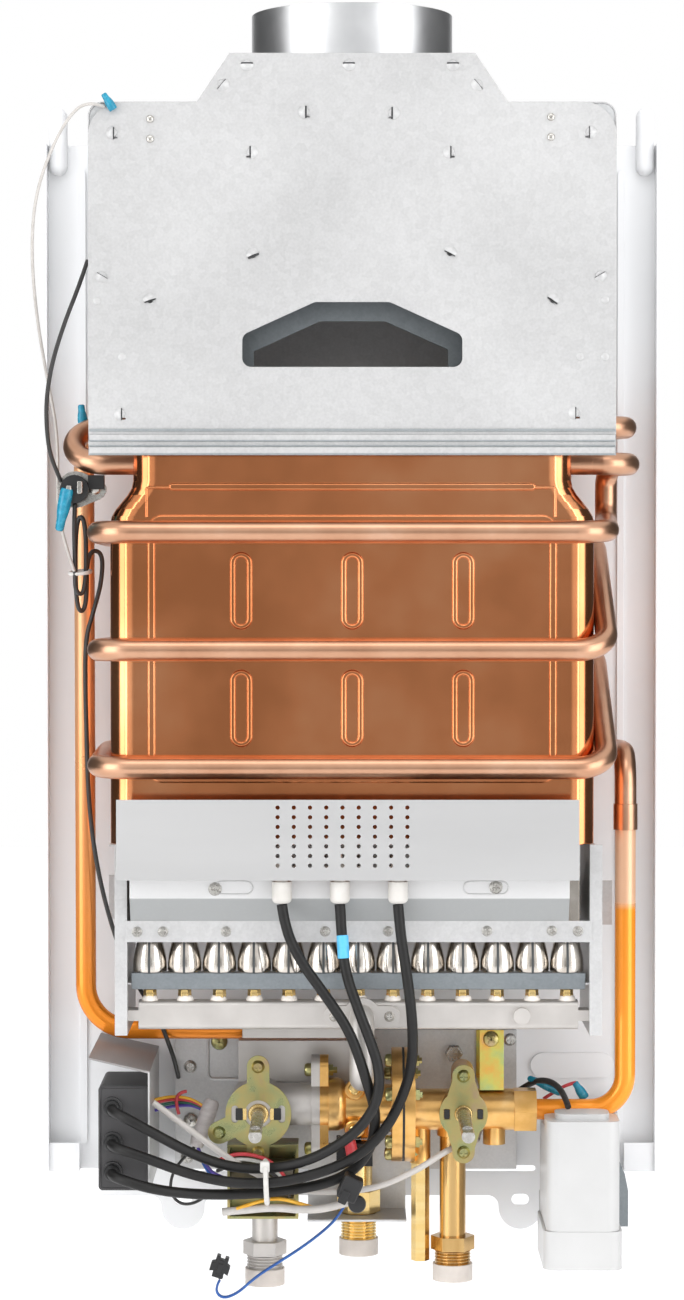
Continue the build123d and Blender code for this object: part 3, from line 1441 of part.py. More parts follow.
with BuildPart() as switch_lever:
    lever_depths = (switch_depth - lever_width / 2, switch_depth + lever_width / 2)
    pivot_x = switch_left + lug_sheet
    add_outward(pivot_x, lever_depths, lever_height, lever_pin_radius)
    add_block((pivot_x, pivot_x + lever_length), lever_depths,
              (lever_height - lever_sheet / 2, lever_height + lever_sheet / 2))
    add_outward(pivot_x, (lever_depths[0] - overrun, lever_depths[1] + overrun), lever_height,
                lever_pin_radius / 2 + running_gap, mode=Mode.SUBTRACT)
save(switch_lever, "switch_lever")

# Igniter box with its three outlets, and the bent heat shield beside it
with BuildPart() as igniter_box:
    add_block((igniter_left, igniter_right), (igniter_back, igniter_front), (igniter_base, igniter_top))
    box_edges = [e for e in igniter_box.edges().filter_by(Axis.Y)]
    fillet(box_edges, igniter_round)
    for height in outlet_heights:
        add_outward(outlet_x, (igniter_front, igniter_front + outlet_rise), height, outlet_radius)
save(igniter_box, "igniter_box")

with BuildPart() as igniter_shield:
    guard_x = igniter_right
    with BuildSketch(facing(panel_sheet)):
        with BuildLine():
            Polyline((guard_x, igniter_base), (guard_x + guard_sheet, igniter_base),
                     (guard_x + guard_sheet, guard_top), (guard_left, guard_top + guard_rise),
                     (guard_left, guard_top + guard_rise - guard_sheet), (guard_x, guard_top - guard_sheet),
                     close=True)
        make_face()
    extrude(amount=guard_front - panel_sheet)
save(igniter_shield, "igniter_shield")

# Battery box, lid and cells
battery_width = battery_right - battery_left
battery_depth = battery_front - battery_back
battery_x = (battery_left + battery_right) / 2
battery_mid = (battery_front + battery_back) / 2
with BuildPart() as battery_box:
    with BuildSketch(level(battery_base)):
        with Locations((battery_x, -battery_mid)):
            RectangleRounded(battery_width, battery_depth, battery_round)
    extrude(amount=battery_top - battery_base)
    with BuildSketch(level(battery_top)):
        with Locations((battery_x, -(battery_cap_back + battery_front) / 2)):
            RectangleRounded(battery_width, battery_front - battery_cap_back, battery_round)
    extrude(amount=battery_cap_rise)
    with BuildSketch(level(battery_top + battery_cap_rise)):
        with Locations((battery_x, -(battery_cap_back + battery_front) / 2)):
            RectangleRounded(battery_width - battery_plug_inset,
                             battery_front - battery_cap_back - battery_plug_inset, battery_round)
    extrude(amount=battery_plug_rise)
    with BuildSketch(level(battery_base)):
        with Locations((battery_x, -battery_mid)):
            RectangleRounded(battery_width - 2 * battery_wall, battery_depth - 2 * battery_wall,
                             battery_round - battery_wall)
    extrude(amount=battery_top - battery_base - battery_wall, mode=Mode.SUBTRACT)
    hinge_depth = battery_back - hinge_radius - seat_gap
    hinge_height = battery_base - hinge_pin_drop
    for x in (battery_left, battery_right - knuckle_length):
        add_crosswise((x, x + knuckle_length), hinge_depth, hinge_height, hinge_radius)
        add_block((x, x + knuckle_length), (hinge_depth - hinge_radius, hinge_depth + hinge_radius + seat_gap),
                  (hinge_height, battery_base + knuckle_length))
    add_crosswise((battery_left, battery_right), hinge_depth, hinge_height, hinge_radius / 2)
save(battery_box, "battery_box")

lid_top = battery_base - seat_gap
lid_width = battery_width + 2 * lid_overhang
with BuildPart() as battery_lid:
    lid_base = lid_top - lid_height
    with BuildSketch(level(lid_base)):
        with Locations((battery_x, -battery_mid - hinge_radius)):
            RectangleRounded(lid_width, battery_depth - 2 * hinge_radius, battery_round)
    extrude(amount=lid_height)
    with BuildSketch(level(lid_base + lid_wall)):
        with Locations((battery_x, -battery_mid - hinge_radius)):
            RectangleRounded(lid_width - 2 * lid_wall, battery_depth - 2 * hinge_radius - 2 * lid_wall,
                             battery_round - lid_wall)
    extrude(amount=lid_height, mode=Mode.SUBTRACT)
    lid_knuckle = (battery_left + knuckle_length + lug_gap, battery_right - knuckle_length - lug_gap)
    add_crosswise(lid_knuckle, hinge_depth, hinge_height, hinge_radius)
    add_block(lid_knuckle, (hinge_depth, battery_back + 2 * hinge_radius),
              (hinge_height - hinge_radius, hinge_height))
    add_crosswise((battery_left, battery_right), hinge_depth, hinge_height, hinge_radius / 2 + running_gap,
                  mode=Mode.SUBTRACT)
save(battery_lid, "battery_lid")

with BuildPart() as battery_cells:
    cell_top = battery_top - battery_wall - seat_gap
    for side in (-1, 1):
        depth = battery_mid + hinge_radius + side * (cell_radius + seat_gap)
        add_upright(battery_x, depth, (cell_top - cell_height, cell_top), cell_radius)
save(battery_cells, "battery_cells")

# Thermostat hung under the left return bend
with BuildPart() as thermostat:
    stat_top = fin_row_low - tube_radius - seat_gap
    stat_height = stat_top - stat_radius
    with BuildSketch(facing(stat_back)):
        with Locations((stat_x, stat_height)):
            Circle(stat_hub)
        with Locations((stat_x + stat_ear / 2, stat_height)):
            SlotCenterToCenter(stat_ear, 2 * stat_ear_radius)
    extrude(amount=stat_sheet)
    add_outward(stat_x, (stat_back, stat_back + stat_length), stat_height, stat_radius)
    saddle_left = stat_x + stat_ear - saddle_width / 2
    add_block((saddle_left, saddle_left + saddle_width), (stat_back, fin_depth_front), (stat_height, stat_top))
save(thermostat, "thermostat")

# Leads
with BuildPart() as high_tension_leads:
    for name, route in zip(("left", "middle", "right"), ht_routes):
        add_lead(f"high tension lead {name}", route, lead_radius)
print("volume", round(high_tension_leads.part.volume))
save(high_tension_leads, "high_tension_leads")

with BuildPart() as draught_lead:
    add_lead("draught lead", draught_route, wire_radius)
print("volume", round(draught_lead.part.volume))
save(draught_lead, "draught_lead")

with BuildPart() as overheat_lead:
    add_lead("overheat lead", overheat_route, stat_wire_radius)
    bundle_path = add_lead("overheat bundle", bundle_route, sleeve_radius)
print("least gap in the hank", round(self_gap(bundle_path, sleeve_radius), 2))
print("volume", round(overheat_lead.part.volume))
save(overheat_lead, "overheat_lead")

with BuildPart() as battery_lead:
    add_lead("battery lead", battery_route, battery_lead_radius)
print("volume", round(battery_lead.part.volume))
save(battery_lead, "battery_lead")

with BuildPart() as display_lead:
    spread = display_wire_radius + display_gap / 2
    for side in (-spread, spread):
        add_lead("display wire", [(x, depth + side, height) for x, depth, height in display_route],
                 display_wire_radius)
print("volume", round(display_lead.part.volume))
save(display_lead, "display_lead")

with BuildPart() as display_connector:
    end_x, end_depth, end_height = display_route[-1]
    wide, deep, tall = connector_size
    add_block((end_x - wide / 2, end_x + wide / 2), (end_depth - deep / 2, end_depth + deep / 2),
              (end_height + display_wire_radius, end_height + display_wire_radius + tall))
save(display_connector, "display_connector")

# Fasteners
with BuildPart() as steel_screws:
    add_heads(crossbar_front, [(x, crossbar_base + up) for x, up in crossbar_screws], small_head_radius)
    add_heads(strip_front, [(x, crossbar_base + crossbar_height + up) for x, up in strip_screws], head_radius)
    add_heads(manifold_front + elbow_flange_sheet,
              [(elbow_x + side * elbow_flange_half, plug_height) for side in (-1, 1)], small_head_radius)
    add_heads(valve_plate_depth + valve_plate_sheet,
              [(x, valve_height + up) for x, up in plate_fixings], head_radius)
save(steel_screws, "steel_screws")

with BuildPart() as zinc_screws:
    add_heads(plate_front, gas_screw_places, head_radius)
    add_heads(water_plate_front, water_ears, head_radius)
save(zinc_screws, "zinc_screws")
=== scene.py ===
import bmesh
import bpy
from math import cos, pi, radians, sin
from mathutils import Matrix, Vector


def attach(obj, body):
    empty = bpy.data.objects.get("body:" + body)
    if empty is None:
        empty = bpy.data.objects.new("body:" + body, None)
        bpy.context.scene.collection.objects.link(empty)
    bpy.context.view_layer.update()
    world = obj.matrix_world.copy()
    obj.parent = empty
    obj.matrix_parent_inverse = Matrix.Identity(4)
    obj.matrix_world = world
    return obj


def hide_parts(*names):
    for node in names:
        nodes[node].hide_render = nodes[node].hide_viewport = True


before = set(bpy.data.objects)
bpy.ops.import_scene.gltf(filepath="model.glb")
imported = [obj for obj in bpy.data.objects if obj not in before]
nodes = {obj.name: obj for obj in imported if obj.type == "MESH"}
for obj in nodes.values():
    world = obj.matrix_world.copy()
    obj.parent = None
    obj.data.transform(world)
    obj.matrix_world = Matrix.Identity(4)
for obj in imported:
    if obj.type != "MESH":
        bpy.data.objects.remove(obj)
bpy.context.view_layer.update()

# Lengths below are in millimetres, as across, depth out from the wall, and height.
MM = 0.001
HOUSING = "casing"


def spot(x, depth, height):
    """A place in metres from millimetres across, out from the wall, and up."""
    return Vector((x, -depth, height)) * MM


def linear(hex_colour):
    """An sRGB hex colour as linear red, green, blue and alpha."""
    parts = [int(hex_colour[i:i + 2], 16) / 255 for i in (1, 3, 5)]
    return tuple(p / 12.92 if p <= 0.04045 else ((p + 0.055) / 1.055) ** 2.4 for p in parts) + (1.0,)


def add(tree, kind, links, **settings):
    """Adds a node, sets its settings, and links or sets its input sockets."""
    node = tree.nodes.new(kind)
    for name, value in settings.items():
        setattr(node, name, value)
    for socket, value in links.items():
        if isinstance(value, bpy.types.NodeSocket):
            tree.links.new(value, node.inputs[socket])
        else:
            node.inputs[socket].default_value = value
    return node


def grains(millimetres):
    """The scale of a texture whose features repeat at this size."""
    return 1 / (millimetres * MM)


def start(name, metallic, roughness, ior=1.5):
    """A new material with its shader's plain values, its tree, and a place in the frame for patterns."""
    material = bpy.data.materials.new(name)
    material.use_nodes = True
    tree = material.node_tree
    shader = tree.nodes["Principled BSDF"]
    shader.inputs["Metallic"].default_value = metallic
    shader.inputs["Roughness"].default_value = roughness
    shader.inputs["IOR"].default_value = ior
    place = add(tree, "ShaderNodeTexCoord", {}).outputs["Object"]
    return material, tree, shader, place


def finish(tree, shader, pattern, colours, rough, bump, bump_height, edge):
    """Feeds a pattern to the shader as colour, roughness and bump, over edges broken by a small radius."""
    ramp = add(tree, "ShaderNodeValToRGB", {"Fac": pattern})
    stops = ramp.color_ramp.elements
    while len(stops) < len(colours):
        stops.new(0.5)
    for stop, (position, colour) in zip(stops, colours):
        stop.position = position
        stop.color = linear(colour)
    tree.links.new(ramp.outputs["Color"], shader.inputs["Base Color"])
    span = add(tree, "ShaderNodeMapRange", {"Value": pattern, "To Min": rough[0], "To Max": rough[1]})
    tree.links.new(span.outputs["Result"], shader.inputs["Roughness"])
    broken = add(tree, "ShaderNodeBevel", {"Radius": edge * MM}, samples=4)
    relief = add(tree, "ShaderNodeBump", {"Height": bump, "Distance": bump_height * MM,
                                          "Normal": broken.outputs["Normal"]})
    tree.links.new(relief.outputs["Normal"], shader.inputs["Normal"])


def mottled(name, metallic, colours, rough, patch, grain, grain_height, ior=1.5, stretch=(1, 1, 1),
            edge=0.4):
    """A finish with soft patches of colour of one size and a fine grain of another, in millimetres.

    Real grain from moulding and rolling is too fine to show, so it is drawn coarser.
    """
    material, tree, shader, place = start(name, metallic, rough[0], ior)
    lay = add(tree, "ShaderNodeMapping", {"Vector": place, "Scale": stretch}).outputs["Vector"]
    cloud = add(tree, "ShaderNodeTexNoise", {"Vector": lay, "Scale": grains(patch), "Detail": 4.0})
    fine = add(tree, "ShaderNodeTexNoise", {"Vector": lay, "Scale": grains(grain), "Detail": 2.0})
    finish(tree, shader, cloud.outputs["Fac"], colours, rough, fine.outputs["Fac"], grain_height, edge)
    return material


# Powder-coated steel: white with a faint orange-peel skin.
panel_white = mottled("powder_coated_steel_white", 0.0, [(0.3, "#e5e6e7"), (0.7, "#e9eaeb")],
                      (0.36, 0.46), 90, 1.6, 0.012)


def galvanised(name, dark, pale, rough):
    """Galvanised sheet: pale grey zinc with a faint spangle of crystals, under dust and soft clouds."""
    material, tree, shader, place = start(name, 0.75, rough[0])
    flakes = add(tree, "ShaderNodeTexVoronoi", {"Vector": place, "Scale": grains(4)})
    shade = add(tree, "ShaderNodeSeparateColor", {"Color": flakes.outputs["Color"]}).outputs["Red"]
    dust = add(tree, "ShaderNodeTexNoise", {"Vector": place, "Scale": grains(1.6), "Detail": 5.0})
    cloud = add(tree, "ShaderNodeTexNoise", {"Vector": place, "Scale": grains(110), "Detail": 2.0})
    speckle = add(tree, "ShaderNodeMix", {"Factor": 0.8, "A": shade, "B": dust.outputs["Fac"]})
    mix = add(tree, "ShaderNodeMix", {"Factor": 0.5, "A": speckle.outputs["Result"],
                                      "B": cloud.outputs["Fac"]})
    finish(tree, shader, mix.outputs["Result"], [(0.3, dark), (0.7, pale)], rough,
           dust.outputs["Fac"], 0.01, 0.3)
    return material


# Hood in spangled sheet, burner frame and brackets in a slightly brighter one.
hood_zinc = galvanised("galvanised_steel_sheet_spangled", "#b6b6b6", "#cecece", (0.5, 0.62))
frame_zinc = galvanised("galvanised_steel_sheet_folded", "#c0c0c0", "#d4d4d4", (0.4, 0.55))

# Rolled bright steel of the flue collar: smooth, with long clean reflections.
collar_bright = mottled("galvanised_steel_rolled_bright", 1.0, [(0.3, "#c6c7c9"), (0.7, "#d9dadb")],
                        (0.3, 0.4), 30, 4, 0.01)

# Copper sheet of the exchanger shell: mirror bright where rolled, with cloudy brown heat stain.
shell_copper = mottled("copper_sheet_rolled_bright", 1.0,
                       [(0.35, "#cc8254"), (0.5, "#de9060"), (0.65, "#e8a274")],
                       (0.1, 0.18), 80, 1.2, 0.004)

# Copper tube of the coil: satin from pickling, paler and pinker than the sheet.
coil_copper = mottled("copper_tube_pickled_satin", 1.0,
                      [(0.25, "#bd8d70"), (0.6, "#ca9d80"), (0.9, "#d6af96")],
                      (0.26, 0.36), 25, 0.8, 0.006)

# Stainless sheet of the splash shield: even satin from rolling.
shield_steel = mottled("stainless_sheet_rolled_satin", 1.0, [(0.3, "#c2c2c2"), (0.7, "#cccccc")],
                       (0.42, 0.52), 60, 0.7, 0.004, stretch=(0.15, 1, 1))

# Pressed stainless of the burner bars: bright, with a warm tint from drawing and heat.
burner_steel = mottled("stainless_pressed_bright", 1.0, [(0.25, "#bdb4a9"), (0.7, "#dcd7d0")],
                       (0.12, 0.24), 14, 1.0, 0.004)

# Zinc-plated and turned steel of screws, spindles and pins.
plain_steel = mottled("steel_zinc_plated_bright", 1.0, [(0.3, "#b6b3ad"), (0.7, "#d2d0cb")],
                      (0.2, 0.34), 3, 0.5, 0.004)

# Die-cast aluminium: warm grey, dull, with a fine pebbled skin.
cast_aluminium = mottled("aluminium_die_cast", 0.85, [(0.25, "#bdb9b5"), (0.75, "#ccc8c4")],
                         (0.42, 0.58), 18, 0.9, 0.03)

# Yellow passivated zinc: gold with drifts of green and pink film colour.
yellow_zinc = mottled("steel_yellow_passivated", 1.0,
                      [(0.25, "#8a946e"), (0.42, "#a2a272"), (0.58, "#b0a26c"), (0.75, "#aa927a")],
                      (0.22, 0.36), 11, 0.6, 0.004)

# Cast brass: sandy skin, in soft patches from brown to pale.
cast_brass = mottled("brass_sand_cast", 1.0, [(0.25, "#d09e54"), (0.6, "#e8ba76"), (0.85, "#f4d094")],
                     (0.24, 0.36), 12, 0.8, 0.025)

# Turned brass: bright yellow with fine tool lines round it.
turned_brass = mottled("brass_turned_bright", 1.0, [(0.3, "#e2bf78"), (0.75, "#f0d79c")],
                       (0.16, 0.28), 10, 0.5, 0.006, stretch=(0.4, 0.4, 3))

# Drawn brass of the inlet tube: browner than turned brass, with soft streaks down the tube.
tube_brass = mottled("brass_tube_drawn_satin", 1.0, [(0.3, "#b8925a"), (0.75, "#d2b078")],
                     (0.18, 0.28), 14, 0.6, 0.006, stretch=(2, 2, 0.2))

# Moulded polyethylene shipping caps: milky, soft-edged white.
cap_poly = mottled("polyethylene_moulded_milky", 0.0, [(0.3, "#c0b7af"), (0.7, "#cbc3bb")],
                   (0.4, 0.5), 10, 1.0, 0.01)
cap_shader = cap_poly.node_tree.nodes["Principled BSDF"]
cap_shader.inputs["Subsurface Weight"].default_value = 0.3
cap_shader.inputs["Subsurface Radius"].default_value = (1.0, 0.9, 0.8)
cap_shader.inputs["Subsurface Scale"].default_value = 2 * MM

# ABS mouldings: white battery box, dark grey igniter case, black switch bodies.
abs_white = mottled("abs_moulded_white", 0.0, [(0.3, "#bebebd"), (0.7, "#c6c6c5")],
                    (0.28, 0.36), 40, 0.8, 0.006)
abs_grey = mottled("abs_moulded_dark_grey", 0.0, [(0.3, "#383738"), (0.7, "#434243")],
                   (0.42, 0.54), 20, 0.6, 0.03)
abs_black = mottled("nylon_moulded_black", 0.0, [(0.3, "#121213"), (0.7, "#1d1d1e")],
                    (0.4, 0.52), 10, 0.6, 0.02)

# Silicone rubber: black lead sleeves with a dusty sheen, white electrode boots.
silicone_black = mottled("silicone_sleeve_black", 0.0, [(0.3, "#100f0f"), (0.7, "#191817")],
                         (0.4, 0.55), 8, 0.6, 0.015, ior=1.41)
silicone_white = mottled("silicone_moulded_white", 0.0, [(0.3, "#c6c3bd"), (0.7, "#d2cfca")],
                         (0.45, 0.6), 8, 0.7, 0.015, ior=1.41)
# Black nitrile of the diaphragm, also used for the dark plates of painted shade in the cover plates'
# windows.
rubber_black = mottled("nitrile_rubber_moulded_and_painted_shade", 0.0, [(0.3, "#1c1c1c"), (0.7, "#262626")],
                       (0.5, 0.65), 6, 0.6, 0.02)

# Glazed alumina of the electrodes: smooth white with a wet gloss.
alumina = mottled("alumina_glazed_white", 0.0, [(0.3, "#e9e6df"), (0.7, "#f2f0eb")],
                  (0.1, 0.18), 9, 1.0, 0.006, ior=1.76)

# Shrink film of the cells and insulation of the thin wires.
cell_film = mottled("pvc_shrink_film_grey", 0.0, [(0.3, "#3c4148"), (0.7, "#4a5058")],
                    (0.25, 0.35), 15, 1.0, 0.006)


def wire_pvc(name, dark, pale):
    """Extruded insulation: plain colour, slightly waxy, uneven along the wire."""
    return mottled(name, 0.0, [(0.3, dark), (0.7, pale)], (0.32, 0.45), 6, 0.5, 0.008)


wire_white = wire_pvc("pvc_insulation_white", "#b4b0ab", "#c2beb9")
wire_black = wire_pvc("pvc_insulation_black", "#242322", "#302f2e")
wire_blue = wire_pvc("pvc_insulation_blue", "#17488e", "#265ea8")
wire_red = wire_pvc("pvc_insulation_red", "#b03038", "#cc4248")
wire_yellow = wire_pvc("pvc_insulation_yellow", "#d89a1c", "#ecb83a")
wire_purple = wire_pvc("pvc_insulation_purple", "#40308a", "#5644a0")
wire_green = wire_pvc("pvc_insulation_green", "#1c4c3c", "#2a6250")
wire_grey = wire_pvc("pvc_insulation_grey", "#a8a8a2", "#bcbcb6")

# Trim: blue vinyl spade sleeves and lead marker, nylon ties, grey harness tape, dried sealant, coil tape.
spade_blue = mottled("vinyl_spade_sleeve_blue", 0.0, [(0.3, "#0f7694"), (0.7, "#2295b2")],
                     (0.2, 0.32), 3, 0.6, 0.02)
marker_blue = mottled("vinyl_marker_sleeve_blue", 0.0, [(0.3, "#43a9dd"), (0.7, "#5cbdec")],
                      (0.35, 0.45), 5, 0.6, 0.01)
tie_nylon = mottled("nylon_cable_tie_natural", 0.0, [(0.3, "#c6c4be"), (0.7, "#d4d2ce")],
                    (0.3, 0.42), 4, 0.6, 0.01)
tape_grey = mottled("pvc_harness_tape_grey", 0.0, [(0.3, "#b4adab"), (0.7, "#cac4c2")],
                    (0.4, 0.55), 5, 1.2, 0.06, stretch=(1, 1, 2.5))
sealant_white = mottled("silicone_sealant_cured_white", 0.0, [(0.3, "#e2dad0"), (0.7, "#f0ebe4")],
                        (0.5, 0.65), 3, 0.8, 0.15, ior=1.41)
winding_tape = mottled("polyester_coil_tape_dark", 0.0, [(0.3, "#3a3526"), (0.7, "#5a5138")],
                       (0.3, 0.45), 8, 0.9, 0.04)

# Galvanised folds, seams and corners that face away from the light: bluer and darker greys.
shade_zinc = galvanised("galvanised_steel_sheet_shaded", "#787e82", "#8b9194", (0.4, 0.55))
hem_zinc = galvanised("galvanised_steel_sheet_hem", "#92989a", "#a8adaf", (0.4, 0.55))
shade_steel = galvanised("galvanised_steel_sheet_gap", "#4c4f50", "#606364", (0.5, 0.65))
corner_zinc = galvanised("galvanised_steel_sheet_corner", "#b8babb", "#cecfd0", (0.45, 0.58))

# Faces that close the lanced louvres' mouths and fill their slits, dull dark grey: painted shade of the
# dark inside of the hood.
cut_edge = mottled("louvre_mouth_painted_shade", 0.0, [(0.3, "#353637"), (0.7, "#424344")],
                   (0.6, 0.72), 4, 0.6, 0.004)


def stepped(name, metallic, axis, edge_at, width, before, after, rough):
    """A finish that changes where the piece does: one colour before a height or place, another after it."""
    material, tree, shader, place = start(name, metallic, rough[0])
    parts = add(tree, "ShaderNodeSeparateXYZ", {"Vector": place})
    grain = add(tree, "ShaderNodeTexNoise", {"Vector": place, "Scale": grains(2), "Detail": 3.0})
    step = add(tree, "ShaderNodeMapRange", {"Value": parts.outputs[axis],
                                            "From Min": (edge_at - width / 2) * MM,
                                            "From Max": (edge_at + width / 2) * MM})
    shift = add(tree, "ShaderNodeMath", {0: grain.outputs["Fac"], 1: 0.12, 2: -0.06},
                operation="MULTIPLY_ADD")
    mixed = add(tree, "ShaderNodeMath", {0: step.outputs["Result"], 1: shift.outputs[0]}, operation="ADD")
    finish(tree, shader, mixed.outputs[0], [(0.0, before), (1.0, after)], rough,
           grain.outputs["Fac"], 0.01, 0.3)
    return material


# Shield bracket: its lower tier leans back, and is painted darker than the strip above it for shade.
strip_zinc = stepped("galvanised_steel_strip_bent", 0.6, "Z", 174.5, 0.8,
                     "#a1a3a3", "#d6d6d6", (0.42, 0.55))

# Copper pipes: orange below a height, paler pinkish copper above it; on the hot pipe the change is spread
# over a long stretch.
cold_copper = stepped("copper_tube_orange_below_pale_above", 0.3, "Z", 164.0, 5.0,
                      "#fb9a2a", "#e6b794", (0.2, 0.3))
hot_copper = stepped("copper_tube_orange_fading_to_pale", 0.45, "Z", 200.0, 190.0,
                     "#ec8a20", "#dba377", (0.2, 0.3))

# Igniter's heat guard: its sloping top is painted darker, a painted reflection of the dark side of the
# room.
guard_zinc = stepped("galvanised_steel_guard_bent", 0.6, "Z", 73.0, 1.0,
                     "#c6c6c5", "#9a9796", (0.42, 0.55))

# Battery lead: white sleeve that ends behind the valve, black wire from there to the battery.
sleeve_to_wire = stepped("silicone_sleeve_over_black_wire", 0.0, "X", 84.0, 0.6, "#bfbab5", "#2a2928",
                         (0.4, 0.5))

# Strap: thick yellow passivation that drifts from green to orange and pink along it.
strap_zinc = mottled("steel_strap_iridescent", 1.0,
                     [(0.25, "#a8c48e"), (0.42, "#d2cc6e"), (0.55, "#e6b45c"), (0.7, "#d9a49a")],
                     (0.25, 0.36), 16, 0.6, 0.004)

finishes = {
    "back_panel": panel_white,
    "hood_front_plate": hood_zinc, "hood_body": hood_zinc, "hood_baffle": frame_zinc,
    "flue_collar": collar_bright, "panel_brackets": frame_zinc,
    "exchanger_shell": shell_copper, "fin_pack": shell_copper, "fin_tubes": coil_copper,
    "water_coil": coil_copper, "hot_pipe": hot_copper, "cold_pipe": cold_copper,
    "burner_tray": frame_zinc, "burner_crossbar": frame_zinc, "burner_bars": burner_steel,
    "gas_manifold": cast_aluminium, "gas_jets": turned_brass,
    "gas_elbow": cast_aluminium, "shield_bracket": strip_zinc,
    "splash_shield": shield_steel, "electrodes": alumina, "electrode_boots": silicone_white,
    "gas_valve_body": cast_aluminium, "gas_spindle": plain_steel,
    "gas_cover_plate": yellow_zinc, "solenoid_frame": yellow_zinc,
    "solenoid_coil": abs_black, "solenoid_plunger": plain_steel,
    "gas_inlet": cast_aluminium, "gas_cap": cap_poly,
    "diaphragm_cover": cast_brass, "diaphragm": rubber_black, "push_rod": plain_steel,
    "water_valve_body": cast_brass, "water_spindle": plain_steel,
    "water_cover_plate": yellow_zinc, "drain_stick": turned_brass,
    "cold_inlet": tube_brass, "cold_cap": cap_poly, "union_nut": cast_brass,
    "hot_outlet": turned_brass, "hot_cap": cap_poly, "valve_plate": frame_zinc,
    "valve_strap": strap_zinc, "microswitch": abs_black, "switch_lever": plain_steel,
    "igniter_box": abs_grey, "igniter_shield": guard_zinc, "battery_box": abs_white,
    "battery_lid": abs_white, "battery_cells": cell_film, "thermostat": abs_black,
    "high_tension_leads": silicone_black, "draught_lead": wire_white,
    "overheat_lead": wire_black, "battery_lead": silicone_white, "display_lead": wire_blue,
    "display_connector": abs_black, "steel_screws": plain_steel, "zinc_screws": yellow_zinc,
}
for name, material in finishes.items():
    mesh = nodes[name].data
    mesh.materials.clear()
    mesh.materials.append(material)
    mesh.polygons.foreach_set("material_index", [0] * len(mesh.polygons))


def tube(name, route, radius, material, sides, steps, closed=False):
    """A round wire on one smooth curve through its route's control points."""
    curve = bpy.data.curves.new(name, "CURVE")
    curve.dimensions = "3D"
    curve.bevel_depth = radius * MM
    curve.bevel_resolution = sides
    curve.use_fill_caps = True
    spline = curve.splines.new("NURBS")
    spline.points.add(len(route) - 1)
    for point, place in zip(spline.points, route):
        point.co = (*spot(*place), 1.0)
    spline.order_u = 3
    spline.use_cyclic_u = closed
    spline.use_endpoint_u = not closed
    spline.resolution_u = steps
    curve.materials.append(material)
    wire = bpy.data.objects.new(name, curve)
    bpy.context.scene.collection.objects.link(wire)
    return wire


def lay_lead(name, route, radius, material, node):
    """A free lead, which stands for a solid of the frame."""
    lead = tube(name, route, radius, material, sides=5, steps=10)
    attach(lead, HOUSING)
    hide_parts(node)
    return lead


LEAD_RADIUS = 3.0
WIRE_RADIUS = 0.9
OVERHEAT_RADIUS = 1.2
SLEEVE_RADIUS = 1.3
BATTERY_RADIUS = 1.8
DISPLAY_RADIUS = 0.7
DISPLAY_SPREAD = 0.9

ht_routes = {
    "left": (338, [
        (-39.4, 133.6, 171.8), (-37.6, 133.4, 158.0), (-29.0, 134.5, 140.0), (-15.0, 136.0, 121.0),
        (-2.0, 136.0, 102.0), (5.0, 134.5, 83.0), (8.5, 132.0, 70.5), (12.0, 122.5, 58.5),
        (13.5, 110.0, 46.0), (11.0, 103.0, 29.5), (0.0, 101.0, 15.0), (-19.0, 101.0, 7.5),
        (-46.0, 101.5, 4.0), (-72.0, 104.0, 3.0), (-97.0, 110.5, 5.0), (-116.0, 117.5, 9.5),
        (-130.0, 117.5, 14.0), (-137.0, 109.0, 15.0), (-137.0, 98.3, 15.0)]),
    "middle": (311, [
        (-6.9, 133.6, 171.8), (-6.0, 133.4, 155.0), (-4.0, 135.0, 134.0), (3.0, 137.0, 114.0),
        (10.0, 137.0, 96.0), (15.5, 135.5, 79.0), (14.5, 133.5, 62.0), (6.0, 125.0, 46.0),
        (-9.0, 116.0, 32.5), (-28.0, 108.0, 22.0), (-49.0, 103.0, 17.5), (-71.0, 104.0, 19.0),
        (-92.0, 110.0, 28.0), (-114.0, 117.5, 41.5), (-129.5, 117.5, 50.0), (-137.0, 109.0, 52.0),
        (-137.0, 98.3, 52.0)]),
    "right": (318, [
        (25.6, 133.6, 171.8), (27.0, 133.4, 154.0), (31.0, 133.0, 130.0), (34.0, 130.0, 104.0),
        (34.0, 122.0, 80.0), (28.0, 115.0, 59.0), (18.0, 112.5, 40.0), (3.0, 111.5, 26.0),
        (-17.0, 110.5, 17.0), (-41.0, 110.0, 11.0), (-66.0, 110.5, 10.6), (-91.0, 113.0, 16.0),
        (-114.0, 117.5, 25.5), (-130.0, 117.5, 31.0), (-137.0, 109.0, 32.0), (-137.0, 98.3, 32.0)]),
}
for side, (length, route) in ht_routes.items():
    lead = lay_lead(f"high_tension_lead_{side}", route, LEAD_RADIUS, silicone_black, "high_tension_leads")

draught_route = [
    (-138.0, 129.0, 617.0), (-147.0, 133.0, 620.0), (-158.0, 134.0, 611.0), (-169.0, 133.0, 590.0),
    (-177.5, 128.0, 565.0), (-180.0, 119.0, 535.0), (-178.0, 107.0, 500.0), (-173.0, 93.0, 465.0),
    (-169.8, 79.0, 444.0), (-168.8, 74.5, 424.0), (-169.0, 80.0, 405.0), (-167.3, 88.0, 388.0),
    (-162.8, 90.0, 371.0), (-158.8, 86.3, 358.0)]
draught = lay_lead("draught_lead_wire", draught_route, WIRE_RADIUS, wire_white, "draught_lead")

overheat_route = [
    (-148.9, 112.0, 533.0), (-153.0, 118.0, 519.0), (-161.0, 122.0, 498.0), (-168.0, 122.5, 476.0),
    (-171.8, 120.0, 455.0), (-172.0, 114.0, 436.0), (-170.2, 106.0, 421.0), (-165.2, 98.2, 409.0)]
overheat = lay_lead("overheat_lead_wire", overheat_route, OVERHEAT_RADIUS, wire_black, "overheat_lead")

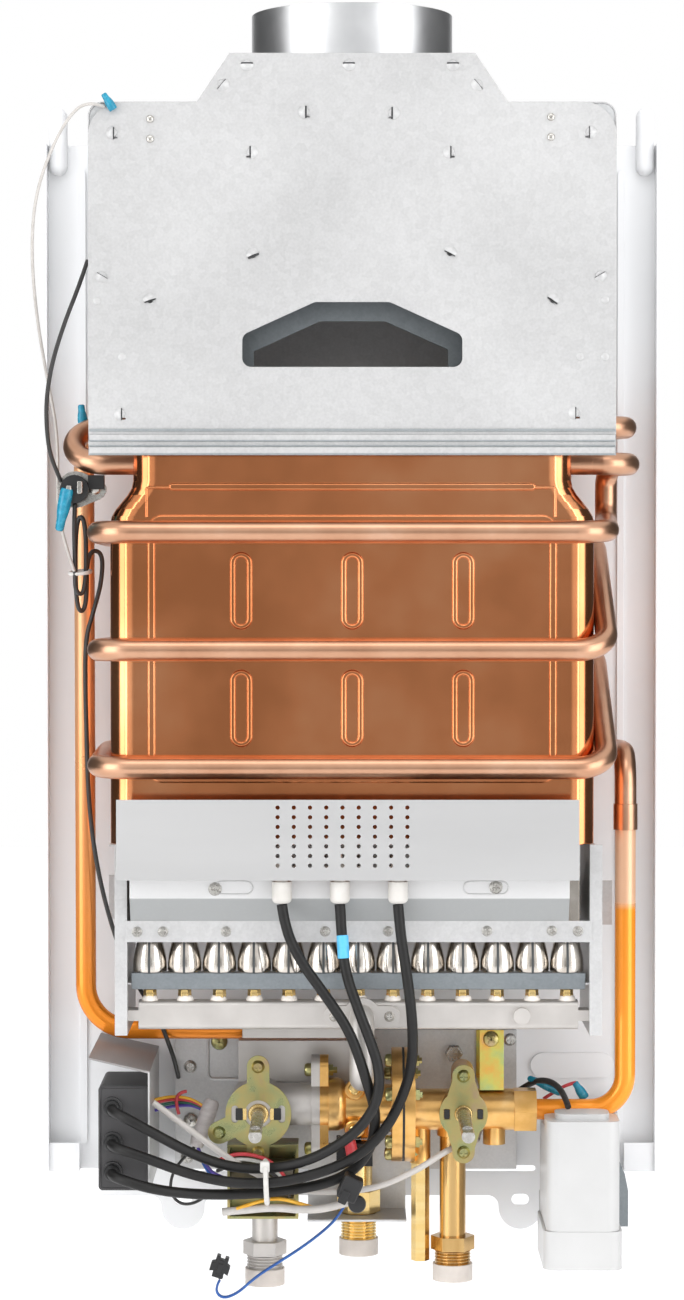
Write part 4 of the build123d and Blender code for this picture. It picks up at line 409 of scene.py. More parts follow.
bundle_route = [
    (-157.5, 97.0, 396.2), (-158.2, 94.0, 386.0), (-158.5, 88.0, 374.0), (-158.4, 84.4, 361.0),
    (-158.5, 84.0, 345.0), (-152.4, 80.5, 345.0), (-152.4, 80.5, 389.0), (-158.8, 77.0, 389.0),
    (-158.8, 77.0, 335.0), (-152.6, 73.5, 335.0), (-152.6, 73.5, 369.5), (-143.6, 70.0, 369.5),
    (-144.2, 69.0, 352.0), (-149.2, 65.0, 335.0), (-154.4, 59.5, 319.0), (-155.0, 54.0, 291.0),
    (-154.5, 49.8, 260.0), (-154.0, 46.5, 230.0), (-152.0, 42.5, 203.0), (-148.0, 38.0, 177.0),
    (-142.0, 35.0, 152.0), (-134.5, 34.0, 130.0), (-124.5, 34.0, 111.0), (-113.5, 34.6, 95.0),
    (-107.5, 34.6, 79.0), (-104.2, 26.0, 67.0), (-102.9, 16.2, 57.0)]
bundle = lay_lead("overheat_lead_bundle", bundle_route, SLEEVE_RADIUS, wire_black, "overheat_lead")

battery_route = [
    (-113.9, 92.0, 54.0), (-99.0, 92.0, 43.0), (-64.0, 92.0, 16.5), (-30.0, 92.0, 2.0), (10.0, 92.0, 3.0),
    (36.0, 87.5, 13.5), (48.0, 80.5, 20.0), (57.5, 71.4, 24.3), (66.5, 69.8, 26.3), (72.2, 61.5, 26.5),
    (73.3, 51.5, 26.2), (74.5, 43.0, 29.0), (80.0, 37.5, 36.0), (89.0, 36.0, 44.0), (99.0, 39.0, 53.5),
    (109.0, 48.0, 60.5), (117.5, 58.0, 60.5), (123.0, 69.0, 55.0), (124.5, 80.0, 49.5)]
battery = lay_lead("battery_lead_sleeve", battery_route, BATTERY_RADIUS, sleeve_to_wire, "battery_lead")

display_route = [
    (1.0, 62.0, 12.9), (0.6, 62.0, 2.5), (-3.0, 62.0, -9.0), (-9.5, 61.5, -19.5), (-19.5, 61.0, -28.5),
    (-32.0, 61.5, -37.5), (-45.0, 62.0, -45.5), (-57.0, 62.0, -53.5), (-66.5, 62.0, -62.3),
    (-75.5, 62.0, -65.5), (-80.0, 62.0, -60.0), (-76.9, 62.0, -54.5)]

# Pieces made here: edges sharper than this angle stay crisp
ROUND_ANGLE = radians(35)


def solid(name, shape, material, body=HOUSING):
    """A piece from a built mesh, which rides on a body and takes a finish of the record."""
    bmesh.ops.recalc_face_normals(shape, faces=shape.faces)
    mesh = bpy.data.meshes.new(name)
    shape.to_mesh(mesh)
    shape.free()
    mesh.shade_smooth()
    mesh.set_sharp_from_angle(angle=ROUND_ANGLE)
    mesh.materials.append(material)
    piece = bpy.data.objects.new(name, mesh)
    bpy.context.scene.collection.objects.link(piece)
    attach(piece, body)
    return piece


def along(direction):
    """A direction given across, out from the wall and up, as a vector of the frame."""
    return Vector((direction[0], -direction[1], direction[2])).normalized()


def join_rings(shape, rings):
    """Skins a row of vertex rings and closes both ends."""
    for low, high in zip(rings, rings[1:]):
        for i in range(len(low)):
            j = (i + 1) % len(low)
            shape.faces.new((low[i], low[j], high[j], high[i]))
    shape.faces.new(rings[0][::-1])
    shape.faces.new(rings[-1])


def turn(shape, profile, place, direction=(0, 0, 1), steps=28):
    """Adds a turned body: rings of radius and distance along a direction from a place."""
    lie = along(direction).to_track_quat("Z", "Y").to_matrix()
    angles = [2 * pi * i / steps for i in range(steps)]
    join_rings(shape, [[shape.verts.new(spot(*place) + lie @ Vector((r * cos(a), r * sin(a), h)) * MM)
                        for a in angles] for r, h in profile])


def plate(shape, outline, place, thickness, direction=(0, 1, 0), upward=(0, 0, 1), edge=0.0):
    """Adds a flat plate: an outline round a place on its front, and its front edge broken."""
    ahead = along(direction)
    up = along(upward)
    side = up.cross(ahead)
    middle_u = sum(u for u, v in outline) / len(outline)
    middle_v = sum(v for u, v in outline) / len(outline)
    half_u = max(abs(u - middle_u) for u, v in outline)
    half_v = max(abs(v - middle_v) for u, v in outline)
    rings = []
    for depth, inset in ((-thickness, 0), (-edge, 0), (0, edge)):
        ring = []
        for u, v in outline:
            u = middle_u + (u - middle_u) * (1 - inset / half_u)
            v = middle_v + (v - middle_v) * (1 - inset / half_v)
            ring.append(shape.verts.new(spot(*place) + (side * u + up * v + ahead * depth) * MM))
        rings.append(ring)
    join_rings(shape, rings)


def rounded(width, height, radius, steps=6):
    """The outline of a rectangle with round corners about its middle."""
    corners = [(1, 1, 0), (-1, 1, 90), (-1, -1, 180), (1, -1, 270)]
    points = []
    for x, z, first in corners:
        for step in range(steps + 1):
            angle = radians(first + 90 * step / steps)
            points.append((x * (width / 2 - radius) + radius * cos(angle),
                           z * (height / 2 - radius) + radius * sin(angle)))
    return points


def strand(name, route, radius, material, closed=False):
    """A short held wire, tie or pressed line."""
    wire = tube(name, route, radius, material, sides=4, steps=8, closed=closed)
    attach(wire, HOUSING)


def cross_recess(shape, arm, place, tilt):
    """Adds the crossed slots of a screw head, one a quarter turn from the other."""
    for angle in (radians(tilt), radians(tilt + 90)):
        plate(shape, arm, place, 0.6, upward=(sin(angle), 0, cos(angle)))


# Hood: rivets, half-round lanced louvres with mouths and slits painted dark for shade, folded hem lines and
# corner flanges behind the plate in darker greys of painted shade
HOOD_FRONT = 128.0
HOOD_SHOULDER = 620.0
HOOD_BASE = 423.0
RIVET = [(2.2, -0.2), (2.2, 0.5), (1.9, 1.0), (1.3, 1.4), (0.5, 1.55)]
FLAT_RIVET = [(2.2, -0.2), (2.2, 0.2), (1.7, 0.5), (0.7, 0.65)]
rivets = bmesh.new()
for x, down in [(-112.8, 9.7), (-112.8, 20.8), (110.8, 8.6), (110.8, 19.7)]:
    turn(rivets, RIVET, (x, HOOD_FRONT, HOOD_SHOULDER - down), (0, 1, 0), 20)
solid("hood_rivets", rivets, plain_steel)
flat_rivets = bmesh.new()
for x, down in [(-142.6, 111.0), (141.1, 110.4), (-128.7, 142.2), (127.2, 142.2), (141.2, 142.2)]:
    turn(flat_rivets, FLAT_RIVET, (x, HOOD_FRONT, HOOD_SHOULDER - down), (0, 1, 0), 20)
solid("hood_rivets_flat", flat_rivets, hood_zinc)

LOUVRE_RADIUS = 3.9
LOUVRE_RISE = 1.9
LOUVRE_RINGS = 6
LOUVRE_STEPS = 13
SLIT_RISE = 0.95
louvres = bmesh.new()
mouths = bmesh.new()
# Across, down from the shoulder, the way that the louvre's mouth faces in degrees, and its slit's width
for x, down, mouth, gap in [(-58.7, -20.8, 90, 0.8), (-1.9, -20.8, 90, 0.8), (56.1, -20.8, 90, 0.8),
                            (-26.4, 5.8, 0, 0.9), (22.7, 6.4, 180, 0.9), (-56.5, 28.1, 180, 0.8),
                            (54.5, 28.1, 0, 0.7), (-133.5, 17.5, 0, 0.6), (132.5, 17.0, 180, 0.4),
                            (-139.7, 97.0, 60, 0.3), (138.3, 96.5, 120, 0.3), (-129.3, 174.0, 0, 0.6),
                            (124.5, 173.4, 0, 0.5), (-72.6, -9.7, 140, 0.3), (70.0, -9.7, 40, 0.3),
                            (-113.0, 110.4, 288, 0.7), (112.0, 110.4, 236, 0.8), (-55.4, 85.3, 293, 1.2),
                            (54.5, 84.2, 243, 0.5)]:
    angle = radians(mouth)
    turned = Matrix.Rotation(angle, 3, "Y").inverted()
    centre = spot(x, HOOD_FRONT, HOOD_SHOULDER - down)
    rows = []
    for ring in range(LOUVRE_RINGS):
        reach = ring / (LOUVRE_RINGS - 1)
        row = []
        for step in range(LOUVRE_STEPS):
            around = radians(90 + 180 * step / (LOUVRE_STEPS - 1))
            flat = Vector((reach * cos(around), 0, reach * sin(around))) * LOUVRE_RADIUS
            lift = Vector((0, -LOUVRE_RISE * (1 - reach ** 2) - 0.05, 0))
            row.append(louvres.verts.new(centre + (turned @ flat + lift) * MM))
        rows.append(row)
    for low, high in zip(rows, rows[1:]):
        for a, b, c, d in zip(low, low[1:], high[1:], high):
            louvres.faces.new((a, b, c, d))
    # A dark face closes the louvre's mouth and a dark plate fills its slit: painted shade of the hood's
    # inside.
    arch = [Vector((0.06, 0, s * LOUVRE_RADIUS)) for s in (-0.92, 0.92)]
    top = [Vector((0.06, -LOUVRE_RISE * (1 - s ** 2), s * LOUVRE_RADIUS))
           for s in (0.8, 0.45, 0, -0.45, -0.8)]
    mouths.faces.new([mouths.verts.new(centre + (turned @ point) * MM) for point in arch + top])
    ahead = 0.1 + gap / 2
    slit = (x + ahead * cos(angle), HOOD_FRONT + SLIT_RISE, HOOD_SHOULDER - down + ahead * sin(angle))
    plate(mouths, rounded(gap, 1.7 * LOUVRE_RADIUS, 0.4 * gap), slit, SLIT_RISE,
          upward=(-sin(angle), 0, cos(angle)))
bmesh.ops.remove_doubles(louvres, verts=louvres.verts, dist=0.01 * MM)
solid("hood_louvres", louvres, hood_zinc)
solid("hood_louvre_gaps", mouths, cut_edge)

# Fold lines of the hem in a darker, bluer grey: painted shade.
hem = bmesh.new()
for rise, tall in ((14.0, 1.5), (8.2, 1.2), (5.2, 1.0), (0.7, 1.4)):
    plate(hem, rounded(294.0, tall, 0.4), (0, HOOD_FRONT + 1.15, HOOD_BASE + rise), 1.0, edge=0.3)
solid("hood_fold_lines", hem, hem_zinc)

# Corner flanges behind the plate in a darker grey: painted shade.
corners = bmesh.new()
for side in (-1, 1):
    plate(corners, rounded(26.0, 26.0, 7.0), (side * 133.6, HOOD_FRONT - 1.3, HOOD_SHOULDER - 13.9), 0.6)
solid("hood_corner_flanges", corners, corner_zinc)

# Inner plate seen through the relief slot, in a dark grey: painted shade of the inside of the hood.
inner = bmesh.new()
plate(inner, [(-66, -40), (-55.7, -40), (-55.7, -17.6), (-18.3, -0.5), (18.7, -0.5), (54.4, -16.5),
              (54.4, -40), (66, -40), (66, 14), (-66, 14)], (0, 100.0, 500.0), 0.8)
solid("relief_inner_plate", inner, shade_zinc)

# Blue crimped spades: on the hood's corner, behind the return bend and on the thermostat
SPADE = [(1.3, 0), (1.9, 0.6), (2.1, 4), (2.6, 6), (2.9, 8), (2.9, 13), (2.4, 14)]
spades = bmesh.new()
turn(spades, [(r * 0.85, h * 0.75) for r, h in SPADE], (-138.6, 131.0, 624.0), (0.55, -0.1, -0.85), 18)
turn(spades, SPADE, (-156.5, 62.0, 454.0), (0.1, 0, -1), 18)
turn(spades, [(r * 1.3, h * 1.75) for r, h in SPADE], (-166.2, 101.0, 381.0), (0.2, 0.12, 0.97), 18)
solid("blue_spades_upper", spades, spade_blue)

# Thermostat: screw, clamping flange with its ear, and two contact blades
stat_trim = bmesh.new()
turn(stat_trim, [(3.4, 0), (3.4, 1.0), (2.7, 2.0), (1.2, 2.5)], (-146.6, 90.7, 405.0), (0, 1, 0), 20)
hub = [(10.5 * cos(radians(a)), 10.5 * sin(radians(a))) for a in range(62, 300, 14)]
ear = [(11.4 + 6.1 * cos(radians(a)), 6.1 * sin(radians(a))) for a in range(-62, 63, 14)]
plate(stat_trim, hub + ear, (-157.5, 90.7, 404.5), 0.6)
for blade in ((-160.4, 105.6, 403.0), (-154.2, 105.6, 405.5)):
    plate(stat_trim, rounded(3.0, 7.0, 0.6), blade, 3.0, edge=0.3)
solid("thermostat_trim", stat_trim, plain_steel)

strand("hank_tie", [(-161.6, 84.5, 356.0), (-161.8, 72.5, 357.5), (-150.2, 70.5, 358.5),
                    (-149.8, 86.0, 357.0)], 1.15, tie_nylon, closed=True)

# Shell: ends of the frame that is pressed round its upper band
for side, x, inward in (("left", -115.6, 14.0), ("right", 114.2, -14.0)):
    strand(f"shell_frame_{side}", [(x + inward, 117.9, 405.2), (x + 0.2 * inward, 117.6, 405.2),
                                   (x, 117.0, 405.0), (x, 117.5, 402.0), (x, 117.7, 396.0),
                                   (x, 117.7, 388.5)], 0.9, shell_copper)

# Burner: bright bells with their seams painted dark for shade, the air plate's lip painted in darker grey
# for shade, sealant round the jets
BELL_DEPTH = 105.0
BURNER_MIDDLE = 3.5
BURNER_PITCH = 19.72
BURNER_COUNT = 13
bell_xs = [BURNER_MIDDLE + (i - BURNER_COUNT // 2) * BURNER_PITCH for i in range(BURNER_COUNT)]
# Radius and height of a bell from its mouth up, and the cross-section of its seam
BELL = [(9.35, 131.2), (9.6, 132.2), (9.6, 135.6), (9.35, 138.4), (8.7, 142.0), (7.8, 145.5), (7.2, 148.6)]
SEAM = ((-0.8, -0.6), (-0.6, 0.4), (0.6, 0.4), (0.8, -0.6))
bells = bmesh.new()
seams = bmesh.new()
for x in bell_xs:
    turn(bells, BELL, (x, BELL_DEPTH, 0), steps=40)
    join_rings(seams, [[seams.verts.new(spot(x + u, BELL_DEPTH + r + out, h)) for u, out in SEAM]
                       for r, h in BELL])
solid("burner_bells", bells, burner_steel)
solid("burner_bell_seams", seams, shade_steel)

lip = bmesh.new()
plate(lip, rounded(257.0, 10.2, 0.6), (BURNER_MIDDLE, 112.0, 125.9), 0.9, (0, 0.94, -0.34), (0, 0.34, 0.94),
      edge=0.3)
solid("air_plate_lip", lip, shade_zinc)

sealant = bmesh.new()
heads = bmesh.new()
for i, x in enumerate(bell_xs):
    lean = 0.5 * sin(2.3 * i)
    turn(sealant, [(4.9 + 0.3 * lean, 114.4), (4.7, 115.4), (4.1 + 0.4 * lean, 116.6), (3.4, 117.3),
                   (2.0, 117.5)], (x + lean, BELL_DEPTH + 0.3 * lean, 0), steps=14)
    turn(heads, [(3.7, 116.0), (3.7, 121.0), (3.1, 121.8), (1.4, 121.8)], (x, BELL_DEPTH, 0), steps=6)
solid("jet_sealant", sealant, sealant_white)
solid("jet_hexagons", heads, turned_brass)

# Outlines embossed round the two screws of the bracket strip
for side, x, width in (("left", -66.5, 21.0), ("right", 75.0, 25.0)):
    ring = [(x + u, 128.1, 180.6 + v) for u, v in rounded(width, 7.4, 3.6, 3)]
    strand(f"strip_emboss_{side}", ring, 0.45, frame_zinc, closed=True)

# Support bar below the manifold, with its end slanting down to the elbow
bar = bmesh.new()
plate(bar, [(-34, -3.2), (30, -3.2), (40.5, -19), (44, -17), (33, 3.2), (-34, 3.2)],
      (-29.5, 70.0, 91.2), 14.0, edge=0.6)
solid("manifold_support", bar, cast_aluminium)

# Middle lead's marker sleeve, the tie round the three leads and its head
marker = bmesh.new()
turn(marker, [(3.1, 0), (3.35, 0.3), (3.35, 12.6), (3.1, 12.9)], (-5.55, 133.9, 154.6),
     (0.06, 0.09, -1), 24)
solid("marker_sleeve", marker, marker_blue)
strand("lead_tie", [(-49.4, 97.5, 23.0), (-49.2, 115.6, 22.2), (-48.4, 116.2, -0.4),
                    (-48.2, 98.0, -1.6)], 1.5, tie_nylon, closed=True)
tie_head = bmesh.new()
plate(tie_head, rounded(5.4, 6.4, 1.2), (-49.5, 113.6, 20.4), 4.0, edge=0.6)
solid("lead_tie_head", tie_head, tie_nylon)

# Igniter box: ribbed glands round the lead outlets and a raised edge on its face
glands = bmesh.new()
for height in (52.0, 32.0, 15.0):
    turn(glands, [(5.9, 0), (5.9, 1.2), (5.2, 1.6), (5.2, 2.6), (4.6, 3.0), (4.6, 7.5), (3.6, 8.6)],
         (-137.0, 95.6, height), (0, 1, 0), 26)
solid("outlet_glands", glands, abs_black)
frame_edge = [(-130.6 + u, 95.1, 34.0 + v) for u, v in rounded(27.0, 58.0, 1.5, 2)]
strand("igniter_face_edge", frame_edge, 0.5, abs_grey, closed=True)

# Wires of the harness where they leave the igniter's side, and the taped sleeve they go into
for name, shift, material in (("purple", 0.0, wire_purple), ("green", 2.2, wire_green),
                              ("red", 4.4, wire_red), ("yellow", 6.2, wire_yellow)):
    strand(f"harness_wire_{name}", [(-115.0, 52.0, 43.0 + shift), (-108.0, 53.0, 45.0 + shift),
                                    (-99.0, 55.0, 46.5 + 0.8 * shift), (-91.0, 57.0, 46.5 + 0.5 * shift),
                                    (-85.0, 57.0, 43.0 + 0.3 * shift)], 0.95, material)
sleeve = bmesh.new()
turn(sleeve, [(3.2, 0), (4.6, 2), (5.0, 9), (4.4, 17), (4.7, 24), (3.9, 28), (2.6, 29)],
     (-81.0, 57.0, 50.0), (-0.34, 0.1, -0.94), 20)
solid("harness_tape", sleeve, tape_grey)
strand("battery_red_wire", [(-100.6, 60.0, 42.0), (-102.6, 58.0, 48.0), (-101.4, 56.0, 54.0),
                            (-96.5, 54.0, 54.5)], 1.0, wire_red)
strand("harness_loop", [(-91.5, 60.0, 23.0), (-98.0, 62.0, 17.0), (-104.5, 62.0, 8.0), (-106.0, 62.0, -3.0),
                        (-100.0, 62.0, -10.5), (-90.0, 62.0, -9.5), (-84.5, 62.0, -5.0)], 0.9, wire_black)
for name, lift, material in (("purple", 0.0, wire_purple), ("blue", -2.4, wire_blue)):
    strand(f"harness_tail_{name}", [(-90.0, 61.0, 24.0 + lift), (-85.5, 66.0, 14.0 + lift),
                                    (-78.0, 72.0, 7.5 + lift), (-66.0, 76.0, 6.0 + lift)], 0.95, material)
for name, lift, material in (("red", 0.0, wire_red), ("white", -3.0, wire_grey),
                             ("black", -5.8, wire_black)):
    strand(f"solenoid_wire_{name}", [(-78.0, 79.5, 18.0 + lift), (-70.0, 80.5, 22.0 + lift),
                                     (-61.0, 80.5, 22.5 + lift), (-50.0, 80.0, 20.0 + lift),
                                     (-40.0, 78.6, 12.0 + lift), (-36.0, 77.5, 3.0 + lift)], 1.1, material)
strand("yellow_wire", [(-66.0, 99.0, -6.0), (-54.0, 99.5, -1.5), (-42.0, 99.0, 0.5), (-30.0, 97.0, -3.2),
                       (-16.0, 93.0, -8.2), (-6.0, 84.0, -7.5), (-1.0, 76.0, -2.0)], 1.1, wire_yellow)
strand("white_wire_low", [(-74.0, 97.0, -8.0), (-60.0, 98.5, -6.5), (-44.0, 98.5, -5.0),
                          (-28.0, 97.5, -7.0), (-12.0, 96.0, -6.0), (2.0, 97.0, -1.0)], 2.3, wire_white)

# Clip and grommet where the leads cross, and the red terminal of the microswitch
clip = bmesh.new()
plate(clip, rounded(11.5, 13.5, 1.5), (-1.2, 119.0, 8.6), 15.0, upward=(0.42, 0, 0.9), edge=0.8)
plate(clip, rounded(5.0, 8.0, 1.0), (-4.6, 120.0, 4.5), 4.0, upward=(0.42, 0, 0.9), edge=0.5)
turn(clip, [(2.2, 0), (4.8, 0.4), (5.2, 2.4), (4.6, 4.4), (2.2, 4.8)], (2.8, 100.0, -2.5), (0, 1, 0), 26)
solid("lead_clip", clip, abs_black)
terminal = bmesh.new()
turn(terminal, [(2.0, 0), (3.4, 0.8), (3.6, 9.0), (2.6, 11.5), (1.6, 13.0)], (-1.5, 71.5, 29.0),
     (0.2, 0, -0.98), 20)
solid("switch_terminal", terminal, wire_red)

# Valves: dark plates in the windows of both cover plates, painted shade of the recess behind them, collars
# round the spindles, solenoid's back and winding
VALVE_DEPTH = 60.0
VALVE_HEIGHT = 48.0
SPINDLE_HEIGHT = 45.0
PLATE_FRONT = 14.2
# Dark plates in the cover plates' windows: painted shade of the recess behind them.
windows = bmesh.new()
for x, width in ((-65.0, 4.2), (-43.0, 4.2), (54.7, 3.3), (73.9, 3.3)):
    plate(windows, rounded(width, 1.65 * width, 0.6), (x, 78.35, SPINDLE_HEIGHT), 0.3)
solid("plate_window_shade", windows, rubber_black)
collar = bmesh.new()
for x, radius in ((-54.0, 6.0), (64.3, 5.2)):
    turn(collar, [(radius, 77.1), (radius, 78.9), (radius - 0.5, 79.4), (4.3, 79.4), (4.1, 77.4)],
         (x, 0, SPINDLE_HEIGHT), (0, 1, 0), 36)
for x in (-61.8, -46.2):
    plate(collar, rounded(2.2, 6.6, 0.4), (x, 78.4, SPINDLE_HEIGHT), 0.3)
solid("spindle_collars", collar, turned_brass)
coil_back = bmesh.new()
plate(coil_back, rounded(38.0, 40.0, 1.0), (-51.5, 54.2, 5.5), 1.0)
solid("solenoid_back", coil_back, yellow_zinc)
winding = bmesh.new()
turn(winding, [(10.0, -19.0), (11.6, -18.6), (11.6, 17.6), (10.0, 18.0)], (-51.5, 65.0, 5.5), (1, 0, 0), 30)
solid("solenoid_winding", winding, winding_tape)

# Bolts through the valve's flange and round the diaphragm, all along the valve's axis
HEAD = [(3.9, 0), (3.9, 2.6), (3.3, 3.6), (1.5, 4.1)]
BOLT_CIRCLE = 28.6
bolts = bmesh.new()
for height in (68.0, 22.0):
    turn(bolts, HEAD, (-23.7, VALVE_DEPTH, height), (-1, 0, 0), 20)
    turn(bolts, [(3.6, 0), (3.6, 2.6), (2.0, 2.6), (2.0, 5.0)], (-13.5, VALVE_DEPTH, height), (1, 0, 0), 6)
for angle in (20, 70, 130, 175, 235, 300):
    place = (22.9, VALVE_DEPTH + BOLT_CIRCLE * sin(radians(angle)),
             VALVE_HEIGHT + BOLT_CIRCLE * cos(radians(angle)))
    turn(bolts, HEAD, place, (-1, 0, 0), 20)
    turn(bolts, [(3.4, 0), (3.4, 2.4), (1.9, 2.4), (1.9, 4.0)], (36.5, *place[1:]), (1, 0, 0), 6)
solid("valve_bolts", bolts, yellow_zinc)

# Throat's boss and two small plugged bosses of the water valve
bosses = bmesh.new()
turn(bosses, [(15.4, 0), (15.4, 5.5), (14.2, 8.5), (12.2, 10.0)], (-13.6, VALVE_DEPTH, VALVE_HEIGHT),
     (1, 0, 0), 40)
plugs = bmesh.new()
for height, tilt in ((57.5, 0.45), (35.0, -0.4)):
    turn(bosses, [(6.4, -6), (6.0, 0.5), (5.4, 1.2), (3.0, 1.2)], (1.5, 68.5, height), (0, 0.9, tilt), 26)
    turn(plugs, [(3.6, 0.8), (3.6, 2.4), (3.0, 3.2), (1.2, 3.4)], (1.5, 68.5, height), (0, 0.9, tilt), 20)
solid("valve_bosses", bosses, cast_brass)
solid("valve_boss_plugs", plugs, turned_brass)

# Yellow pan heads on the valve plate and the strap
yellow_heads = bmesh.new()
for x, depth, height, radius in ((-78.7, PLATE_FRONT, 78.0, 4.9), (80.6, 66.0, 86.8, 4.6)):
    turn(yellow_heads, [(radius, 0), (radius, 1.1), (0.86 * radius, 2.4), (0.5 * radius, 3.1),
                        (0.2 * radius, 3.3)], (x, depth, height), (0, 1, 0), 26)
    cross_recess(yellow_heads, rounded(1.1, 1.2 * radius, 0.5), (x, depth + 3.4, height), 40)
solid("yellow_pan_heads", yellow_heads, yellow_zinc)

# Valve plate: line pressed round its upper field, a pan head behind the harness and a bolt behind the valve
strand("plate_pressed_line", [(-85.4, 14.3, 84.0), (-85.4, 14.3, 64.0), (-85.4, 14.3, 55.7),
                              (-77.0, 14.3, 55.7), (-40.0, 14.3, 55.7), (-4.0, 14.3, 55.7)], 0.9,
       frame_zinc)
plate_heads = bmesh.new()
turn(plate_heads, [(4.4, 0), (4.4, 0.9), (3.7, 2.1), (2.2, 2.8), (0.9, 3.0)], (-95.6, PLATE_FRONT, 31.2),
     (0, 1, 0), 26)
cross_recess(plate_heads, rounded(1.0, 5.0, 0.4), (-95.6, PLATE_FRONT + 3.1, 31.2), 20)
turn(plate_heads, [(5.4, 0), (5.4, 3.2), (4.6, 4.0), (2.0, 4.0)], (60.8, PLATE_FRONT, 71.2), (0, 1, 0), 6)
solid("plate_heads", plate_heads, plain_steel)

# Battery: blue spades on its two wires, contact, and the steel bracket beside it, painted darker grey for
# shade
battery_spades = bmesh.new()
turn(battery_spades, [(r, h * 1.6) for r, h in SPADE], (103.5, 44.0, 60.8), (0.8, 0.45, -0.28), 18)
turn(battery_spades, [(r, h * 0.8) for r, h in SPADE], (130.0, 52.0, 59.5), (0.55, 0, -0.83), 18)
solid("blue_spades_battery", battery_spades, spade_blue)
strand("battery_wire_red", [(112.0, 50.0, 49.5), (118.0, 51.0, 53.5), (125.0, 52.0, 58.0),
                            (131.0, 52.0, 59.4)], 1.0, wire_red)
contact = bmesh.new()
plate(contact, rounded(8.6, 4.6, 0.8), (138.0, 74.0, 40.0), 8.0, edge=0.4)
solid("battery_contact", contact, plain_steel)
bracket = bmesh.new()
plate(bracket, [(-3.2, 21), (1.6, 10), (3.6, 0), (3.6, -21), (-3.2, -21)], (158.2, 48.0, -5.0), 1.4,
      edge=0.2)
plate(bracket, rounded(42.0, 24.0, 2.0), (156.2, 27.0, -7.0), 1.2, (1, 0, 0), edge=0.2)
solid("battery_bracket", bracket, shade_zinc)

# Display plug: a small housing with side ears, a latch and the wires' seals, which stands for a solid
plug = bmesh.new()
lean = (0.3, 0, 0.954)
plate(plug, [(-3.2, -6.2), (3.2, -6.2), (3.2, -2.6), (5.6, -3.4), (5.6, 1.6), (3.6, 2.6), (3.6, 6.4),
             (1.4, 6.4), (1.4, 4.4), (-1.4, 4.4), (-1.4, 6.4), (-3.6, 6.4), (-3.6, 2.6), (-5.6, 1.6),
             (-5.6, -3.4), (-3.2, -2.6)], (-76.6, 65.8, -46.6), 7.6, upward=lean, edge=0.4)
plate(plug, rounded(3.4, 6.2, 0.6), (-76.8, 66.4, -47.2), 1.0, upward=lean, edge=0.3)
for depth in (61.1, 62.9):
    turn(plug, [(1.0, 0), (1.5, 0.5), (1.5, 2.2), (1.2, 2.6)], (-76.2, depth, -53.6), (-0.2, 0, 0.98), 14)
display_plug = solid("display_plug", plug, abs_black)
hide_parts("display_connector")

for side, shift in (("back", -DISPLAY_SPREAD), ("front", DISPLAY_SPREAD)):
    route = [(x, depth + shift, height) for x, depth, height in display_route]
    wire = lay_lead(f"display_wire_{side}", route, DISPLAY_RADIUS, wire_blue, "display_lead")

# Camera where the photograph was taken from
CAMERA_TILT = 1.637
CAMERA_LENS = 96.92
CAMERA_PLACE = (-5.76, 2087, 370.07)
camera_data = bpy.data.cameras.new("camera")
camera_data.lens = CAMERA_LENS
camera = bpy.data.objects.new("camera", camera_data)
camera.location = spot(*CAMERA_PLACE)
camera.rotation_euler = (radians(90 - CAMERA_TILT), 0, 0)
bpy.context.scene.collection.objects.link(camera)
bpy.context.scene.camera = camera

# World: soft fill from the front, weaker from behind, and white for what the camera, metal and glass see
FILL_FRONT = 1.36
FILL_BEHIND = 0.5
world = bpy.data.worlds.new("studio")
world.use_nodes = True
bpy.context.scene.world = world
sky = world.node_tree
sky.nodes.clear()
path = add(sky, "ShaderNodeLightPath", {})
seen = add(sky, "ShaderNodeMath", {0: path.outputs["Is Camera Ray"], 1: path.outputs["Is Glossy Ray"]},
           operation="MAXIMUM")
seen = add(sky, "ShaderNodeMath", {0: seen.outputs[0], 1: path.outputs["Is Transmission Ray"]},
           operation="MAXIMUM")
facing = add(sky, "ShaderNodeTexCoord", {}).outputs["Generated"]
away = add(sky, "ShaderNodeSeparateXYZ", {"Vector": facing}).outputs["Y"]
level = add(sky, "ShaderNodeMapRange", {"Value": away, "From Min": -0.4, "From Max": 0.5,
                                        "To Min": FILL_FRONT, "To Max": FILL_BEHIND})
fill = add(sky, "ShaderNodeBackground", {"Color": linear("#fdfdff"), "Strength": level.outputs["Result"]})
white = add(sky, "ShaderNodeBackground", {"Color": (1, 1, 1, 1), "Strength": 1.0})
blend = add(sky, "ShaderNodeMixShader", {0: seen.outputs[0], 1: fill.outputs[0], 2: white.outputs[0]})
add(sky, "ShaderNodeOutputWorld", {"Surface": blend.outputs[0]})


def aim(obj, place, target):
    """Stands an object at a place, in millimetres, and turns its face to a target."""
    obj.location = spot(*place)
    obj.rotation_euler = (spot(*target) - spot(*place)).to_track_quat("-Z", "Y").to_euler()


def soft_box(name, place, target, size, power):
    """A large soft lamp."""
    data = bpy.data.lights.new(name, "AREA")
    data.shape = "RECTANGLE"
    data.size = size[0] * MM
    data.size_y = size[1] * MM
    data.energy = power
    lamp = bpy.data.objects.new(name, data)
    bpy.context.scene.collection.objects.link(lamp)
    aim(lamp, place, target)


MIDDLE = (0, 70, 330)
soft_box("left_soft_box", (-1850, 1150, 520), MIDDLE, (900, 1900), 14)
soft_box("right_soft_box", (1850, 1150, 520), MIDDLE, (900, 1900), 12)
soft_box("top_soft_box", (0, 1300, 2300), MIDDLE, (1800, 900), 10)


